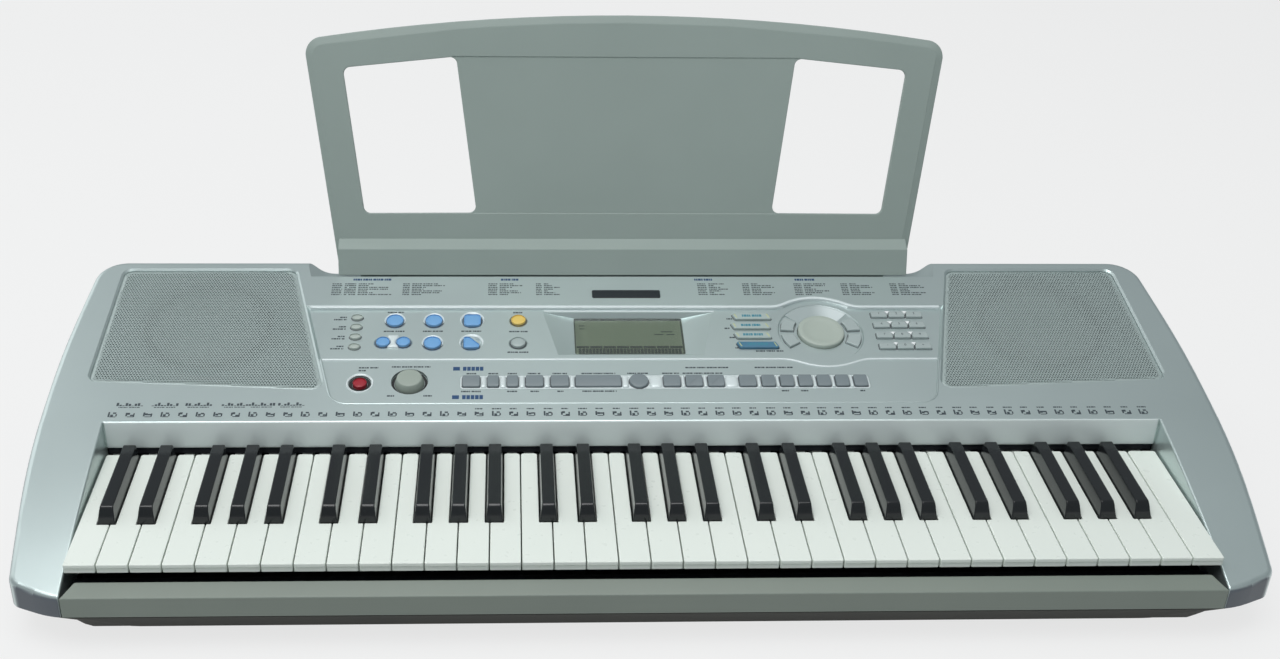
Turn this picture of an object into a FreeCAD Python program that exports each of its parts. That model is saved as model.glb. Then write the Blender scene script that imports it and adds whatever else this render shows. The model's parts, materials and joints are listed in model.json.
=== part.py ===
import FreeCAD, Part
import math
import os
from FreeCAD import Vector

# A portable arranger keyboard with 61 full-size keys, two speakers and a lift-off music rest.
# Lengths are millimetres and angles degrees. X runs to the player's right, Y to the back, Z up.
# While it is built, Y counts from the front edge of the white keys. The finished pieces are
# then moved so that the origin lies under the middle of the whole object.

# Key field
OCTAVES = 5
KEY_PITCH = 23.5
KEY_GAP = 0.9
KEY_LENGTH = 140.0
KEY_TOP = 65.0
KEY_BODY = 18.0
KEY_SKIN = 2.0
KEY_FRONT = 7.2
KEY_UNDERCUT = 14.0
KEY_LIP = 2.8
KEY_LIP_GROOVE = 0.5
KEY_FRONT_CORNER = 1.2
KEY_NOTCH_CORNER = 0.7
KEY_REAR_CORNER = 2.2
KEY_TAIL_WIDTH = 8.0
KEY_TAIL_HEIGHT = 9.0
KEY_TAIL_DROP = 6.0
KEY_DIP = 9.5
KEY_SIDE_GAP = 1.0
BLACK_WIDTH = 13.0
BLACK_TOP_WIDTH = 9.8
BLACK_HEIGHT = 11.5
BLACK_FRONT = 49.0
BLACK_FRONT_LEAN = 4.4
BLACK_NOSE = 2.6
BLACK_REAR_GAP = 3.0
BLACK_CLEARANCE = 0.7
SHIFT_OUTER_SHARP = 3.4
SHIFT_INNER_SHARP = 2.8
HINGE_RUN = 65.0
HINGE_ROD_RADIUS = 2.0
HINGE_PLAY = 0.06
HINGE_KNUCKLE_WALL = 3.4

# Case
CHEEK_WIDTH = 51.0
FRONT_REACH = 16.0
KEY_REAR_GAP = 7.0
PANEL_RISE = 26.0
PANEL_SLOPE = 11.2
PANEL_LENGTH = 207.0
CHEEK_RADIUS = 1250.0
NOSE_CORNERS = ((45.0, 0.0, 70.0), (12.0, 14.5, 12.0))
SIDE_BOW = ((131.0, 1000.0), (251.0, 1000.0))
REAR_TAPER = 10.0
REAR_CORNER = 26.0
EDGE_ROUND = 5.0
WELL_ROUND = 1.5
CASE_WALL = 3.0
WELL_WALL = 2.5
FALLBOARD_LIFT = 2.5
PART_LINE = 30.0
FOOT_HEIGHT = 5.0
PAN_WALL = 2.5
PAN_FRONT_INSET = 20.0
PAN_SIDE_INSET = 42.0
PAN_REAR_INSET = 15.0
FIT_GAP = 0.3
SEAT_GAP = 0.2

# Key slip, the strip in front of the keys
SLIP_BACK_GAP = 2.0
SLIP_TOP_DROP = 13.5
SLIP_RIDGE_DROP = 17.5
SLIP_WALL = 2.5
SLIP_END_SLANT = 8.5

# Key bed
BED_DROP = 45.0
BED_PLATE = 2.0
BED_FRONT = 6.0
FELT_WIDTH = 8.0
FELT_HEIGHT = 3.0
STOP_RAIL_WIDTH = 18.0
CONTACT_Y = 120.0
CONTACT_BOARD_WIDTH = 26.0
BOARD_THICK = 1.6
DOME_HEIGHT = 3.4
DOME_RADIUS = 3.5
DOME_STRIP = 1.0
DOME_STRIP_WIDTH = 16.0
BRACKET_THICK = 3.0
BRACKET_REACH = 10.0
STANDOFF_RADIUS = 5.0
STANDOFF_COLUMNS = 4
STANDOFF_INSET = 41.0
STANDOFF_REAR = 30.0

# Control panel, with places along the panel from its front edge
PAD_DEPTH = 5.4
BAND_DEPTH = 2.4
BAND_FRONT = 75.5
BAND_REAR = 142.0
TRAY_DEPTH = 1.2
TRAY_FRONT = 21.5
TRAY_CORNER = 15.0
DISH_RIM = 1.0
PANEL_SIDE_GAP = 4.0
BOARD_DROP = 15.0
BOARD_FRONT = 30.0
BOARD_REAR = 140.0
BOARD_LEFT = 246.0
BOARD_RIGHT = 262.0
BOARD_POST_RADIUS = 2.5
BOARD_POST_INSET = 12.5
BOARD_POST_AHEAD = 5.0
SWITCH_SIZE = 6.0
BUTTON_TRAVEL = 1.5
BUTTON_GAP = 0.3
BUTTON_FLANGE = 0.5
FLANGE_THICK = 1.0
STEM_RADIUS = 1.8
STEM_LENGTH = 2.7
CAP_ROUND = 0.7
KNOB_ROUND = 1.4
BAND_CAP_RISE = 2.2
TRAY_CAP_RISE = 2.6

# Grilles and speakers
GRILLE_SIDE = 32.5
GRILLE_BACK_GAP = 13.0
GRILLE_BACK_INNER = 292.0
GRILLE_FRONT_INNER = 254.0
GRILLE_FRONT = 38.5
GRILLE_FRONT_SKEW = 11.0
GRILLE_SIDE_SKEW = 3.0
GRILLE_CORNER = 8.0
GRILLE_DROP = 2.0
GRILLE_RIM = 1.6
GRILLE_SHEET = 1.0
GRILLE_LEDGE = 4.0
GRILLE_POCKET = 9.0
BAFFLE_WALL = 2.5
SPEAKER_SHIFT = 3.75
SPEAKER_RADIUS = 54.0
SPEAKER_FLANGE = 7.0
FLANGE_PLATE = 2.5
BASKET_WALL = 1.6
BASKET_DEPTH = 30.0
MAGNET_RADIUS = 35.0
MAGNET_HEIGHT = 14.0
CONE_WALL = 1.2
CONE_DEPTH = 24.0
DUST_CAP_RADIUS = 17.0
DUST_CAP_HEIGHT = 5.6
DUST_CAP_BEND_RADIUS = 10.2
DUST_CAP_BEND_HEIGHT = 4.2
SURROUND_WIDTH = 8.0
SURROUND_RISE = 2.0

# Display
WINDOW_HALF = 47.0
WINDOW_FRONT = 88.0
WINDOW_REAR = 134.5
BEZEL_FRONT_HALF = 61.5
BEZEL_REAR_HALF = 73.5
BEZEL_FRONT = 82.0
BEZEL_REAR = 137.2
WINDOW_DROP = 7.0
WINDOW_THICK = 2.0
DISPLAY_MARGIN = 5.0
BADGE_SHIFT = 3.6
BADGE_LENGTH = 60.0
BADGE_DEPTH = 10.5
BADGE_THICK = 1.0
BADGE_SINK = 0.5

# Data dial, volume knob and power switch
DIAL_X = 165.0
DIAL_ALONG = 110.2
DIAL_RADIUS = 19.9
DIAL_HUMP = 42.5
DIAL_DISH = 36.0
DISH_DEPTH = 3.4
DIAL_THICK = 4.6
DIAL_RISE = 0.4
DIAL_GAP = 0.5
DIAL_RING_IN = 23.5
DIAL_RING_OUT = 34.5
DIAL_BUTTON_TURNS = (161.0, 199.0, -19.0, 19.0)
DIAL_BUTTON_HALF = 14.0
SHAFT_RADIUS = 3.0
SHAFT_PLAY = 0.05
SHAFT_REACH = 13.0
SENSOR_SIZE = 14.0
SENSOR_TOP = 9.5
HUB_RADIUS = 5.0
KNOB_X = -184.5
KNOB_ALONG = 48.0
KNOB_RADIUS = 12.2
KNOB_RISE = 3.6
KNOB_DISH = 15.2
KNOB_SINK = 4.0
POWER_X = -225.0
POWER_ALONG = 46.0
POWER_RADIUS = 5.7
POWER_DISH = 9.4
POWER_SINK = 3.0
POWER_RISE = 0.4

# Buttons: middle along X, middle along the panel, width and depth
OVAL_X = -233.0
OVAL_ROWS = (129.5, 117.1, 104.5, 91.8)
OVAL_SIZE = (9.5, 6.6)
BUTTON_DISH_LEAD = 0.5
BUTTON_DISH = 1.3
BLUE_SIZE = 14.6
BLUE_SQUARE_CORNER = 3.6
BLUE_SAIL_CORNER = 2.4
BLUE_SAIL = ((-6.4, -6.6), (7.2, -6.6), (7.2, -2.4), (-1.2, 7.0), (-6.4, 7.0))
PAIR_SIZE = 11.6
BLUE_PLACES = ((-200.5, 125.4), (-167.2, 125.4), (-167.5, 96.6))
BLUE_SQUARE_PLACE = (-134.3, 125.6)
BLUE_SAIL_PLACE = (-135.0, 96.4)
PAIR_PLACES = ((-209.3, 97.8), (-192.1, 97.8))
SINGLE_SIZE = 12.4
YELLOW_PLACE = (-94.8, 126.0)
GREY_PLACE = (-95.2, 96.8)
CATEGORY_PLACES = (
    (107.4, 130.0, 32.0),
    (105.2, 117.6, 32.0),
    (105.6, 105.2, 30.0),
    (108.4, 92.8, 34.0),
)
CATEGORY_DEPTH = 7.6
CATEGORY_SLANT = 3.0
NUMBER_X = 234.4
NUMBER_PITCH = 15.3
NUMBER_ROWS = (132.6, 119.0, 105.2, 91.4)
NUMBER_SIZE = (13.8, 7.0)
NUMBER_CORNER = 0.8
NUMBER_NOTCH = (1.7, 3.0)
ROW_ALONG = 47.0
ROW_DEPTH = 12.6
STYLE_ROW = ((-134.0, 14.4), (-116.0, 9.4), (-100.0, 9.4), (-82.0, 14.4), (-61.3, 15.0))
START_BUTTON = (-29.5, 37.6)
SYNC_BUTTON = (4.0, 15.6)
SETTING_ROW = ((31.2, 13.8), (49.6, 13.8), (67.8, 13.4))
BANK_BUTTON = (94.0, 14.0)
MEMORY_COUNT = 6
MEMORY_FIRST = 111.2
MEMORY_PITCH = 15.36
MEMORY_WIDTH = 11.2
STRIP_LEFT = -143.0
STRIP_RIGHT = 195.5
STRIP_HALF = 8.2
STRIP_THICK = 1.0
STRIP_CORNER = 3.2
BUTTON_CORNER = 1.6

# Music rest
TROUGH_RUN = 23.0
SHELF_DROP = 9.0
TROUGH_HALF = 258.0
TROUGH_END = 40.0
REST_LEAN = 18.0
REST_GAP = 1.2
REST_THICK = 4.5
REST_BEVEL = 6.5
REST_BEVEL_DEPTH = 1.8
REST_PANEL_SINK = 0.7
REST_PANEL_OVERLAP = 3.0
REST_HEIGHT = 225.0
REST_FOOT_HALF = 253.5
REST_FLARE = 27.1
REST_CORNER_HEIGHT = 203.0
REST_CORNER = 15.0
LEDGE_REACH = 9.0
LEDGE_FRONT = 21.5
LEDGE_TOP = 29.5
LEDGE_BOTTOM = -2.0
REST_WINDOW_CORNERS = ((129.0, 52.5), (30.0, 52.0), (30.4, 179.0), (130.2, 189.0))
REST_WINDOW_ROUND = 6.0
TONGUE_HALF = 235.0
TONGUE_LENGTH = 22.0
SLOT_PLAY = 0.4

# Batteries, boards and rear sockets
BATTERY_X = 0.0
BATTERY_REAR_GAP = 72.0
BATTERY_LENGTH = 196.0
BATTERY_WIDTH = 70.0
BATTERY_HEIGHT = 36.0
BATTERY_WALL = 2.0
CONTACT_PLATE = 0.6
CONTACT_SIZE = 20.0
COVER_THICK = 2.2
COVER_LIP = 5.0
COVER_BEVEL = 1.6
COVER_TRAVEL = 100.0
MAIN_BOARD_X = -185.0
MAIN_BOARD_SIZE = (130.0, 80.0)
MAIN_BOARD_LIFT = 22.0
CHIP_SIZE = 16.0
CHIP_HEIGHT = 3.0
SOCKET_X = -335.0
SOCKET_PLATE_LENGTH = 104.0
SOCKET_PLATE_HEIGHT = 26.0
SOCKET_PLATE_THICK = 3.0
SOCKET_LIFT = 13.0
JACK_OFFSETS = (-40.0, -19.0)
JACK_BORE = 3.2
JACK_NOSE = 4.8
JACK_LENGTH = 22.0
JACK_BODY = 13.0
MIDI_OFFSETS = (3.0, 24.0)
MIDI_BORE = 6.7
MIDI_NOSE = 8.4
MIDI_BORE_DEPTH = 9.0
MIDI_BODY = 18.0
MIDI_LENGTH = 14.0
INLET_OFFSET = 42.0
INLET_BORE = 2.9
INLET_PIN = 1.0
INLET_PIN_SINK = 1.0
INLET_NOSE = 4.4
INLET_DEPTH = 10.0
INLET_BODY = 11.0
INLET_LENGTH = 14.0

# Screws and feet
SCREW_PLACES = ((400.0, 32.0), (275.0, 28.0), (281.0, 122.0), (130.0, 24.0))
SCREW_RADIUS = 1.5
SCREW_HEAD = 3.4
SCREW_HEAD_HEIGHT = 1.6
SCREW_BITE = 18.0
POST_RADIUS = 4.0
FOOT_RADIUS = 9.0
FOOT_SIDE = 385.0
FOOT_INNER = 150.0
FOOT_FRONT_GAP = 25.0
FOOT_REAR_GAP = 50.0

# Derived places
WHITES_IN_OCTAVE = 7
WHITE_COUNT = WHITES_IN_OCTAVE * OCTAVES + 1
FIELD_HALF = WHITE_COUNT * KEY_PITCH / 2
WELL_HALF = FIELD_HALF + KEY_SIDE_GAP
BODY_HALF = WELL_HALF + CHEEK_WIDTH
SLOPE = math.radians(PANEL_SLOPE)
PANEL_EDGE_Y = KEY_LENGTH + KEY_REAR_GAP
PANEL_EDGE_Z = KEY_TOP + PANEL_RISE
REAR_Y = PANEL_EDGE_Y + PANEL_LENGTH * math.cos(SLOPE)
FLOOR_TOP = FOOT_HEIGHT + PAN_WALL
FOOT_PLACES = (
    (FOOT_SIDE, FOOT_FRONT_GAP),
    (FOOT_SIDE, REAR_Y - FOOT_REAR_GAP),
    (FOOT_INNER, FOOT_FRONT_GAP),
)
BATTERY_Y = REAR_Y - BATTERY_REAR_GAP
HINGE_Y = KEY_LENGTH + HINGE_RUN
HINGE_Z = KEY_TOP - KEY_TAIL_DROP - KEY_TAIL_HEIGHT / 2
KEY_BOTTOM = KEY_TOP - KEY_BODY
DIP_SINE = KEY_DIP / HINGE_Y
BED_TOP = KEY_TOP - BED_DROP + BED_PLATE
PAD_UNDER = -PAD_DEPTH
FLANGE_TOP = PAD_UNDER - SEAT_GAP
STEM_END = FLANGE_TOP - FLANGE_THICK - STEM_LENGTH
SWITCH_TOP = STEM_END - BUTTON_TRAVEL - SEAT_GAP
BOARD_TOP = -BOARD_DROP
TROUGH_ALONG = PANEL_LENGTH - TROUGH_RUN
BADGE_ALONG = (BAND_REAR + TROUGH_ALONG) / 2 - BADGE_SHIFT
GRILLE_BACK = PANEL_LENGTH - GRILLE_BACK_GAP
SPEAKER_ALONG = (GRILLE_FRONT + GRILLE_BACK) / 2 + SPEAKER_SHIFT
TROUGH_Y = PANEL_EDGE_Y + TROUGH_ALONG * math.cos(SLOPE)
TROUGH_Z = PANEL_EDGE_Z + TROUGH_ALONG * math.sin(SLOPE)
SHELF_Z = TROUGH_Z - SHELF_DROP
LEAN = math.radians(REST_LEAN)
REST_Y = TROUGH_Y + REST_GAP + LEDGE_REACH * math.cos(LEAN)
REST_REAR = REST_Y + REST_HEIGHT * math.sin(LEAN) + REST_THICK * math.cos(LEAN)
MIDDLE_Y = (REST_REAR - FRONT_REACH) / 2
PANEL_TOP_ABOVE = 40.0
WELL_ABOVE = 200.0
OVERCUT = 5.0
RECESS_OVERCUT = 1.0
HAIR = 0.01


# Basic shapes


def block(x0, x1, y0, y1, z0, z1):
    return Part.makeBox(x1 - x0, y1 - y0, z1 - z0, Vector(x0, y0, z0))


def rod(x, y, z0, z1, radius):
    return Part.makeCylinder(radius, z1 - z0, Vector(x, y, z0))


def rod_x(x0, x1, y, z, radius):
    return Part.makeCylinder(radius, x1 - x0, Vector(x0, y, z), Vector(1, 0, 0))


def rod_y(x, y0, y1, z, radius):
    return Part.makeCylinder(radius, y1 - y0, Vector(x, y0, z), Vector(0, 1, 0))


def raised(wire, z0, z1):
    face = Part.Face(wire)
    solid = face.extrude(Vector(0, 0, z1 - z0))
    solid.translate(Vector(0, 0, z0))
    return solid


def side_prism(points, x0, x1):
    corners = [Vector(x0, y, z) for y, z in points]
    face = Part.Face(Part.makePolygon(corners + corners[:1]))
    return face.extrude(Vector(x1 - x0, 0, 0))


def counter_clockwise(points):
    area = sum(a[0] * b[1] - b[0] * a[1] for a, b in zip(points, points[1:] + points[:1]))
    return points if area > 0 else points[::-1]


def grown(points, amount):
    """Convex outline with every side moved outward by amount."""
    points = counter_clockwise(list(points))
    lines = []
    for (ax, ay), (bx, by) in zip(points, points[1:] + points[:1]):
        length = math.hypot(bx - ax, by - ay)
        nx, ny = (by - ay) / length, (ax - bx) / length
        lines.append((nx, ny, nx * ax + ny * ay + amount))
    corners = []
    for (nx, ny, d), (mx, my, e) in zip(lines[-1:] + lines[:-1], lines):
        det = nx * my - ny * mx
        corners.append(((d * my - ny * e) / det, (nx * e - d * mx) / det))
    return corners


def rounded(points, radii):
    """Closed outline in the XY plane whose corners are arcs; a radius of 0 keeps a corner sharp."""
    count = len(points)
    if not isinstance(radii, (list, tuple)):
        radii = [radii] * count
    starts, ends, middles = [], [], []
    for i, (x, y) in enumerate(points):
        here = Vector(x, y, 0)
        to_last = (Vector(*points[i - 1], 0) - here).normalize()
        to_next = (Vector(*points[(i + 1) % count], 0) - here).normalize()
        half = to_last.getAngle(to_next) / 2
        inward = (to_last + to_next).normalize()
        reach = radii[i] / math.tan(half)
        centre = here + inward * (radii[i] / math.sin(half))
        starts.append(here + to_last * reach)
        ends.append(here + to_next * reach)
        middles.append(centre - inward * radii[i])
    edges = []
    for i in range(count):
        if radii[i] > 0:
            edges.append(Part.Arc(starts[i], middles[i], ends[i]).toShape())
        edges.append(Part.LineSegment(ends[i], starts[(i + 1) % count]).toShape())
    return Part.Wire(edges)


def rectangle(x, y, width, depth):
    return [
        (x - width / 2, y - depth / 2),
        (x + width / 2, y - depth / 2),
        (x + width / 2, y + depth / 2),
        (x - width / 2, y + depth / 2),
    ]


def mirrored(points):
    return [(-x, y) for x, y in points][::-1]


def joined(first, others):
    return first.fuse(others).removeSplitter()


def on_panel(shape):
    """From panel places (X, along the slope, above the surface) to the object's frame."""
    moved = shape.copy()
    moved.rotate(Vector(0, 0, 0), Vector(1, 0, 0), PANEL_SLOPE)
    moved.translate(Vector(0, PANEL_EDGE_Y, PANEL_EDGE_Z))
    return moved


def on_rest(shape):
    """From music-rest places (X, behind its front face, up its slope) to the object's frame."""
    moved = shape.copy()
    moved.rotate(Vector(0, 0, 0), Vector(1, 0, 0), -REST_LEAN)
    moved.translate(Vector(0, REST_Y, TROUGH_Z))
    return moved


# Case shells


def plan_corners():
    """Corners of the case in plan from the right nose to the right rear, each with its radius."""
    corners = [(BODY_HALF - inward, behind - FRONT_REACH, radius) for inward, behind, radius in NOSE_CORNERS]
    corners += [(BODY_HALF, behind - FRONT_REACH, radius) for behind, radius in SIDE_BOW]
    return corners + [(BODY_HALF - REAR_TAPER, REAR_Y, REAR_CORNER)]


def plan_wire(front, side, rear, ease):
    """Outline of the case in plan, moved inward on each side, with every corner radius less by ease."""
    length = REAR_Y + FRONT_REACH
    points, radii = [], []
    for x, y, radius in plan_corners():
        share = (y + FRONT_REACH) / length
        points.append((x - side, y + front * (1 - share) - rear * share))
        radii.append(radius - ease)
    left = [(-x, y) for x, y in points]
    return rounded(points + left[::-1], radii + radii[::-1])


def plan_prism(inset, z0, z1):
    return raised(plan_wire(inset, inset, inset, inset), z0, z1)


def cheek_height(y, depth):
    """Height of the case top ahead of the panel edge, depth below the outer skin."""
    centre_y = PANEL_EDGE_Y + CHEEK_RADIUS * math.sin(SLOPE)
    centre_z = PANEL_EDGE_Z - CHEEK_RADIUS * math.cos(SLOPE)
    return centre_z + math.sqrt((CHEEK_RADIUS - depth) ** 2 - (y - centre_y) ** 2)


def top_profile(depth):
    """Side view of the case top: a long arc over the cheeks that runs into the flat panel."""
    x0 = -BODY_HALF - OVERCUT
    y0 = -FRONT_REACH - OVERCUT
    y1 = REAR_Y + OVERCUT
    bend_y = PANEL_EDGE_Y + depth * math.sin(SLOPE)
    bend = Vector(x0, bend_y, cheek_height(bend_y, depth))
    middle_y = (y0 + bend_y) / 2
    start = Vector(x0, y0, cheek_height(y0, depth))
    middle = Vector(x0, middle_y, cheek_height(middle_y, depth))
    back = Vector(x0, y1, bend.z + (y1 - bend_y) * math.tan(SLOPE))
    low_back = Vector(x0, y1, PART_LINE)
    low_front = Vector(x0, y0, PART_LINE)
    edges = [
        Part.Arc(start, middle, bend).toShape(),
        Part.LineSegment(bend, back).toShape(),
        Part.LineSegment(back, low_back).toShape(),
        Part.LineSegment(low_back, low_front).toShape(),
        Part.LineSegment(low_front, start).toShape(),
    ]
    face = Part.Face(Part.Wire(edges))
    return face.extrude(Vector(2 * (BODY_HALF + OVERCUT), 0, 0))


def case_hull():
    hull = top_profile(0).common(plan_prism(0, PART_LINE, PART_LINE + WELL_ABOVE))
    rim = []
    for edge in hull.Edges:
        box = edge.BoundBox
        along_panel_bend = box.XLength > WELL_HALF and box.YMax < REAR_Y - OVERCUT and box.YMin > 0
        upright = box.XLength + box.YLength < HAIR
        if box.ZMin > PART_LINE + OVERCUT and not upright and not along_panel_bend:
            rim.append(edge)
    hull = hull.makeFillet(EDGE_ROUND, rim)
    fall_back = PANEL_EDGE_Y + WELL_WALL
    slot = block(-WELL_HALF, WELL_HALF, 0, fall_back, 0, KEY_TOP + FALLBOARD_LIFT)
    hull = hull.cut([well(0, PANEL_EDGE_Y, 0), slot])
    lip = []
    for edge in hull.Edges:
        box = edge.BoundBox
        beside_keys = box.XLength < HAIR and abs(abs(box.XMin) - WELL_HALF) < HAIR
        ahead = box.YLength > HAIR and box.YMin < PANEL_EDGE_Y - HAIR
        on_cheek = beside_keys and ahead and box.ZMax > PART_LINE + HAIR
        on_fallboard = box.YLength + box.ZLength < HAIR and box.XLength > 2 * WELL_HALF - HAIR
        if on_cheek or on_fallboard and box.ZMin > PANEL_EDGE_Z - HAIR:
            lip.append(edge)
    return hull.makeFillet(WELL_ROUND, lip)


def grille_points(side):
    outer = BODY_HALF - GRILLE_SIDE
    points = [
        (GRILLE_FRONT_INNER, GRILLE_FRONT),
        (outer + GRILLE_SIDE_SKEW, GRILLE_FRONT + GRILLE_FRONT_SKEW),
        (outer, GRILLE_BACK),
        (GRILLE_BACK_INNER, GRILLE_BACK),
    ]
    return points if side > 0 else mirrored(points)


def grille_prism(side, grow, w0, w1):
    outline = rounded(grown(grille_points(side), grow), GRILLE_CORNER + grow)
    return on_panel(raised(outline, w0, w1))


def speaker_x(side):
    outer = BODY_HALF - GRILLE_SIDE
    inner = (GRILLE_BACK_INNER + GRILLE_FRONT_INNER) / 2
    return side * (outer + inner) / 2


def panel_side(along):
    """Half width of the control area, which runs beside the slanted inner edges of the grilles."""
    share = (along - GRILLE_FRONT) / (GRILLE_BACK - GRILLE_FRONT)
    return GRILLE_FRONT_INNER + share * (GRILLE_BACK_INNER - GRILLE_FRONT_INNER) - PANEL_SIDE_GAP


def panel_area(front, rear, w0, w1):
    return raised(rounded(panel_corners(front, rear), 0), w0, w1)


def panel_corners(front, rear):
    near, far = panel_side(front), panel_side(rear)
    return [(-near, front), (near, front), (far, rear), (-far, rear)]


def sunk(points, radii, depth, rim):
    """Cutter for a sunk area of the panel whose walls lean outward from rim below the surface."""
    low = rounded(points, radii)
    spread = rim + RECESS_OVERCUT
    wide = [radius + spread if radius else 0 for radius in radii]
    high = rounded(grown(points, spread), wide)
    low_ring = low.copy()
    low_ring.translate(Vector(0, 0, -rim))
    high.translate(Vector(0, 0, RECESS_OVERCUT))
    flare = Part.makeLoft([low_ring, high], True, True)
    if depth > rim:
        flare = joined(flare, [raised(low, -depth, -rim + HAIR)])
    return on_panel(flare)


def sunk_round(x, along, radius, depth, rim):
    spread = rim + RECESS_OVERCUT
    flare = Part.makeCone(radius, radius + spread, spread, Vector(x, along, -rim))
    if depth > rim:
        flare = joined(flare, [rod(x, along, -depth, -rim + HAIR, radius)])
    return on_panel(flare)


def trough(grow):
    """Space behind the panel for the foot of the music rest, with S-shaped ends in front view."""
    half = TROUGH_HALF + grow
    z0 = SHELF_Z - grow
    z1 = PANEL_EDGE_Z + PANEL_LENGTH * math.sin(SLOPE) + OVERCUT
    y = TROUGH_Y - grow
    rise = z1 - z0
    low = Vector(half, y, z0)
    bend = Vector(half + TROUGH_END / 2, y, z0 + rise / 2)
    high = Vector(half + TROUGH_END, y, z1)
    lower_pole = Vector(half + TROUGH_END / 2, y, z0)
    upper_pole = Vector(half + TROUGH_END / 2, y, z1)
    curve = Part.BezierCurve()
    curve.setPoles([low, lower_pole, upper_pole, high])
    ceiling = Vector(high.x, y, z1 + PANEL_TOP_ABOVE)
    flip = FreeCAD.Matrix()
    flip.scale(-1, 1, 1)
    right_curve = curve.toShape()
    left_curve = right_curve.transformGeometry(flip)
    edges = [
        Part.LineSegment(Vector(-low.x, y, z0), low).toShape(),
        right_curve,
        Part.LineSegment(high, ceiling).toShape(),
        Part.LineSegment(ceiling, Vector(-ceiling.x, y, ceiling.z)).toShape(),
        Part.LineSegment(Vector(-ceiling.x, y, ceiling.z), Vector(-high.x, y, z1)).toShape(),
        left_curve,
    ]
    face = Part.Face(Part.Wire(Part.__sortEdges__(edges)))
    return face.extrude(Vector(0, REAR_Y + OVERCUT - y, 0))


def tongue_slot(grow):
    reach = TONGUE_LENGTH + SLOT_PLAY / 2 + grow
    half = TONGUE_HALF + SLOT_PLAY + grow
    low = -SLOT_PLAY - grow
    high = REST_THICK + SLOT_PLAY + grow
    return on_rest(block(-half, half, low, high, -reach, 0))


def well(grow, rear, z0):
    """Space of the keys between the cheeks, ahead of the given rear plane."""
    half = WELL_HALF + grow
    return block(-half, half, -FRONT_REACH - OVERCUT, rear, z0, PART_LINE + WELL_ABOVE)


def screw_places():
    return [(side * x, REAR_Y - ahead) for x, ahead in SCREW_PLACES for side in (-1, 1)]


def board_posts():
    places = []
    for x in (-1, 1):
        places.append((x * (panel_side(BAND_FRONT) - BOARD_POST_INSET), BAND_FRONT - BOARD_POST_AHEAD))
        places.append((x * (BEZEL_FRONT_HALF + SWITCH_SIZE), BAND_FRONT - BOARD_POST_AHEAD))
        places.append((x * (BEZEL_REAR_HALF + SWITCH_SIZE), BOARD_REAR - BOARD_POST_RADIUS))
    return places


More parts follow.
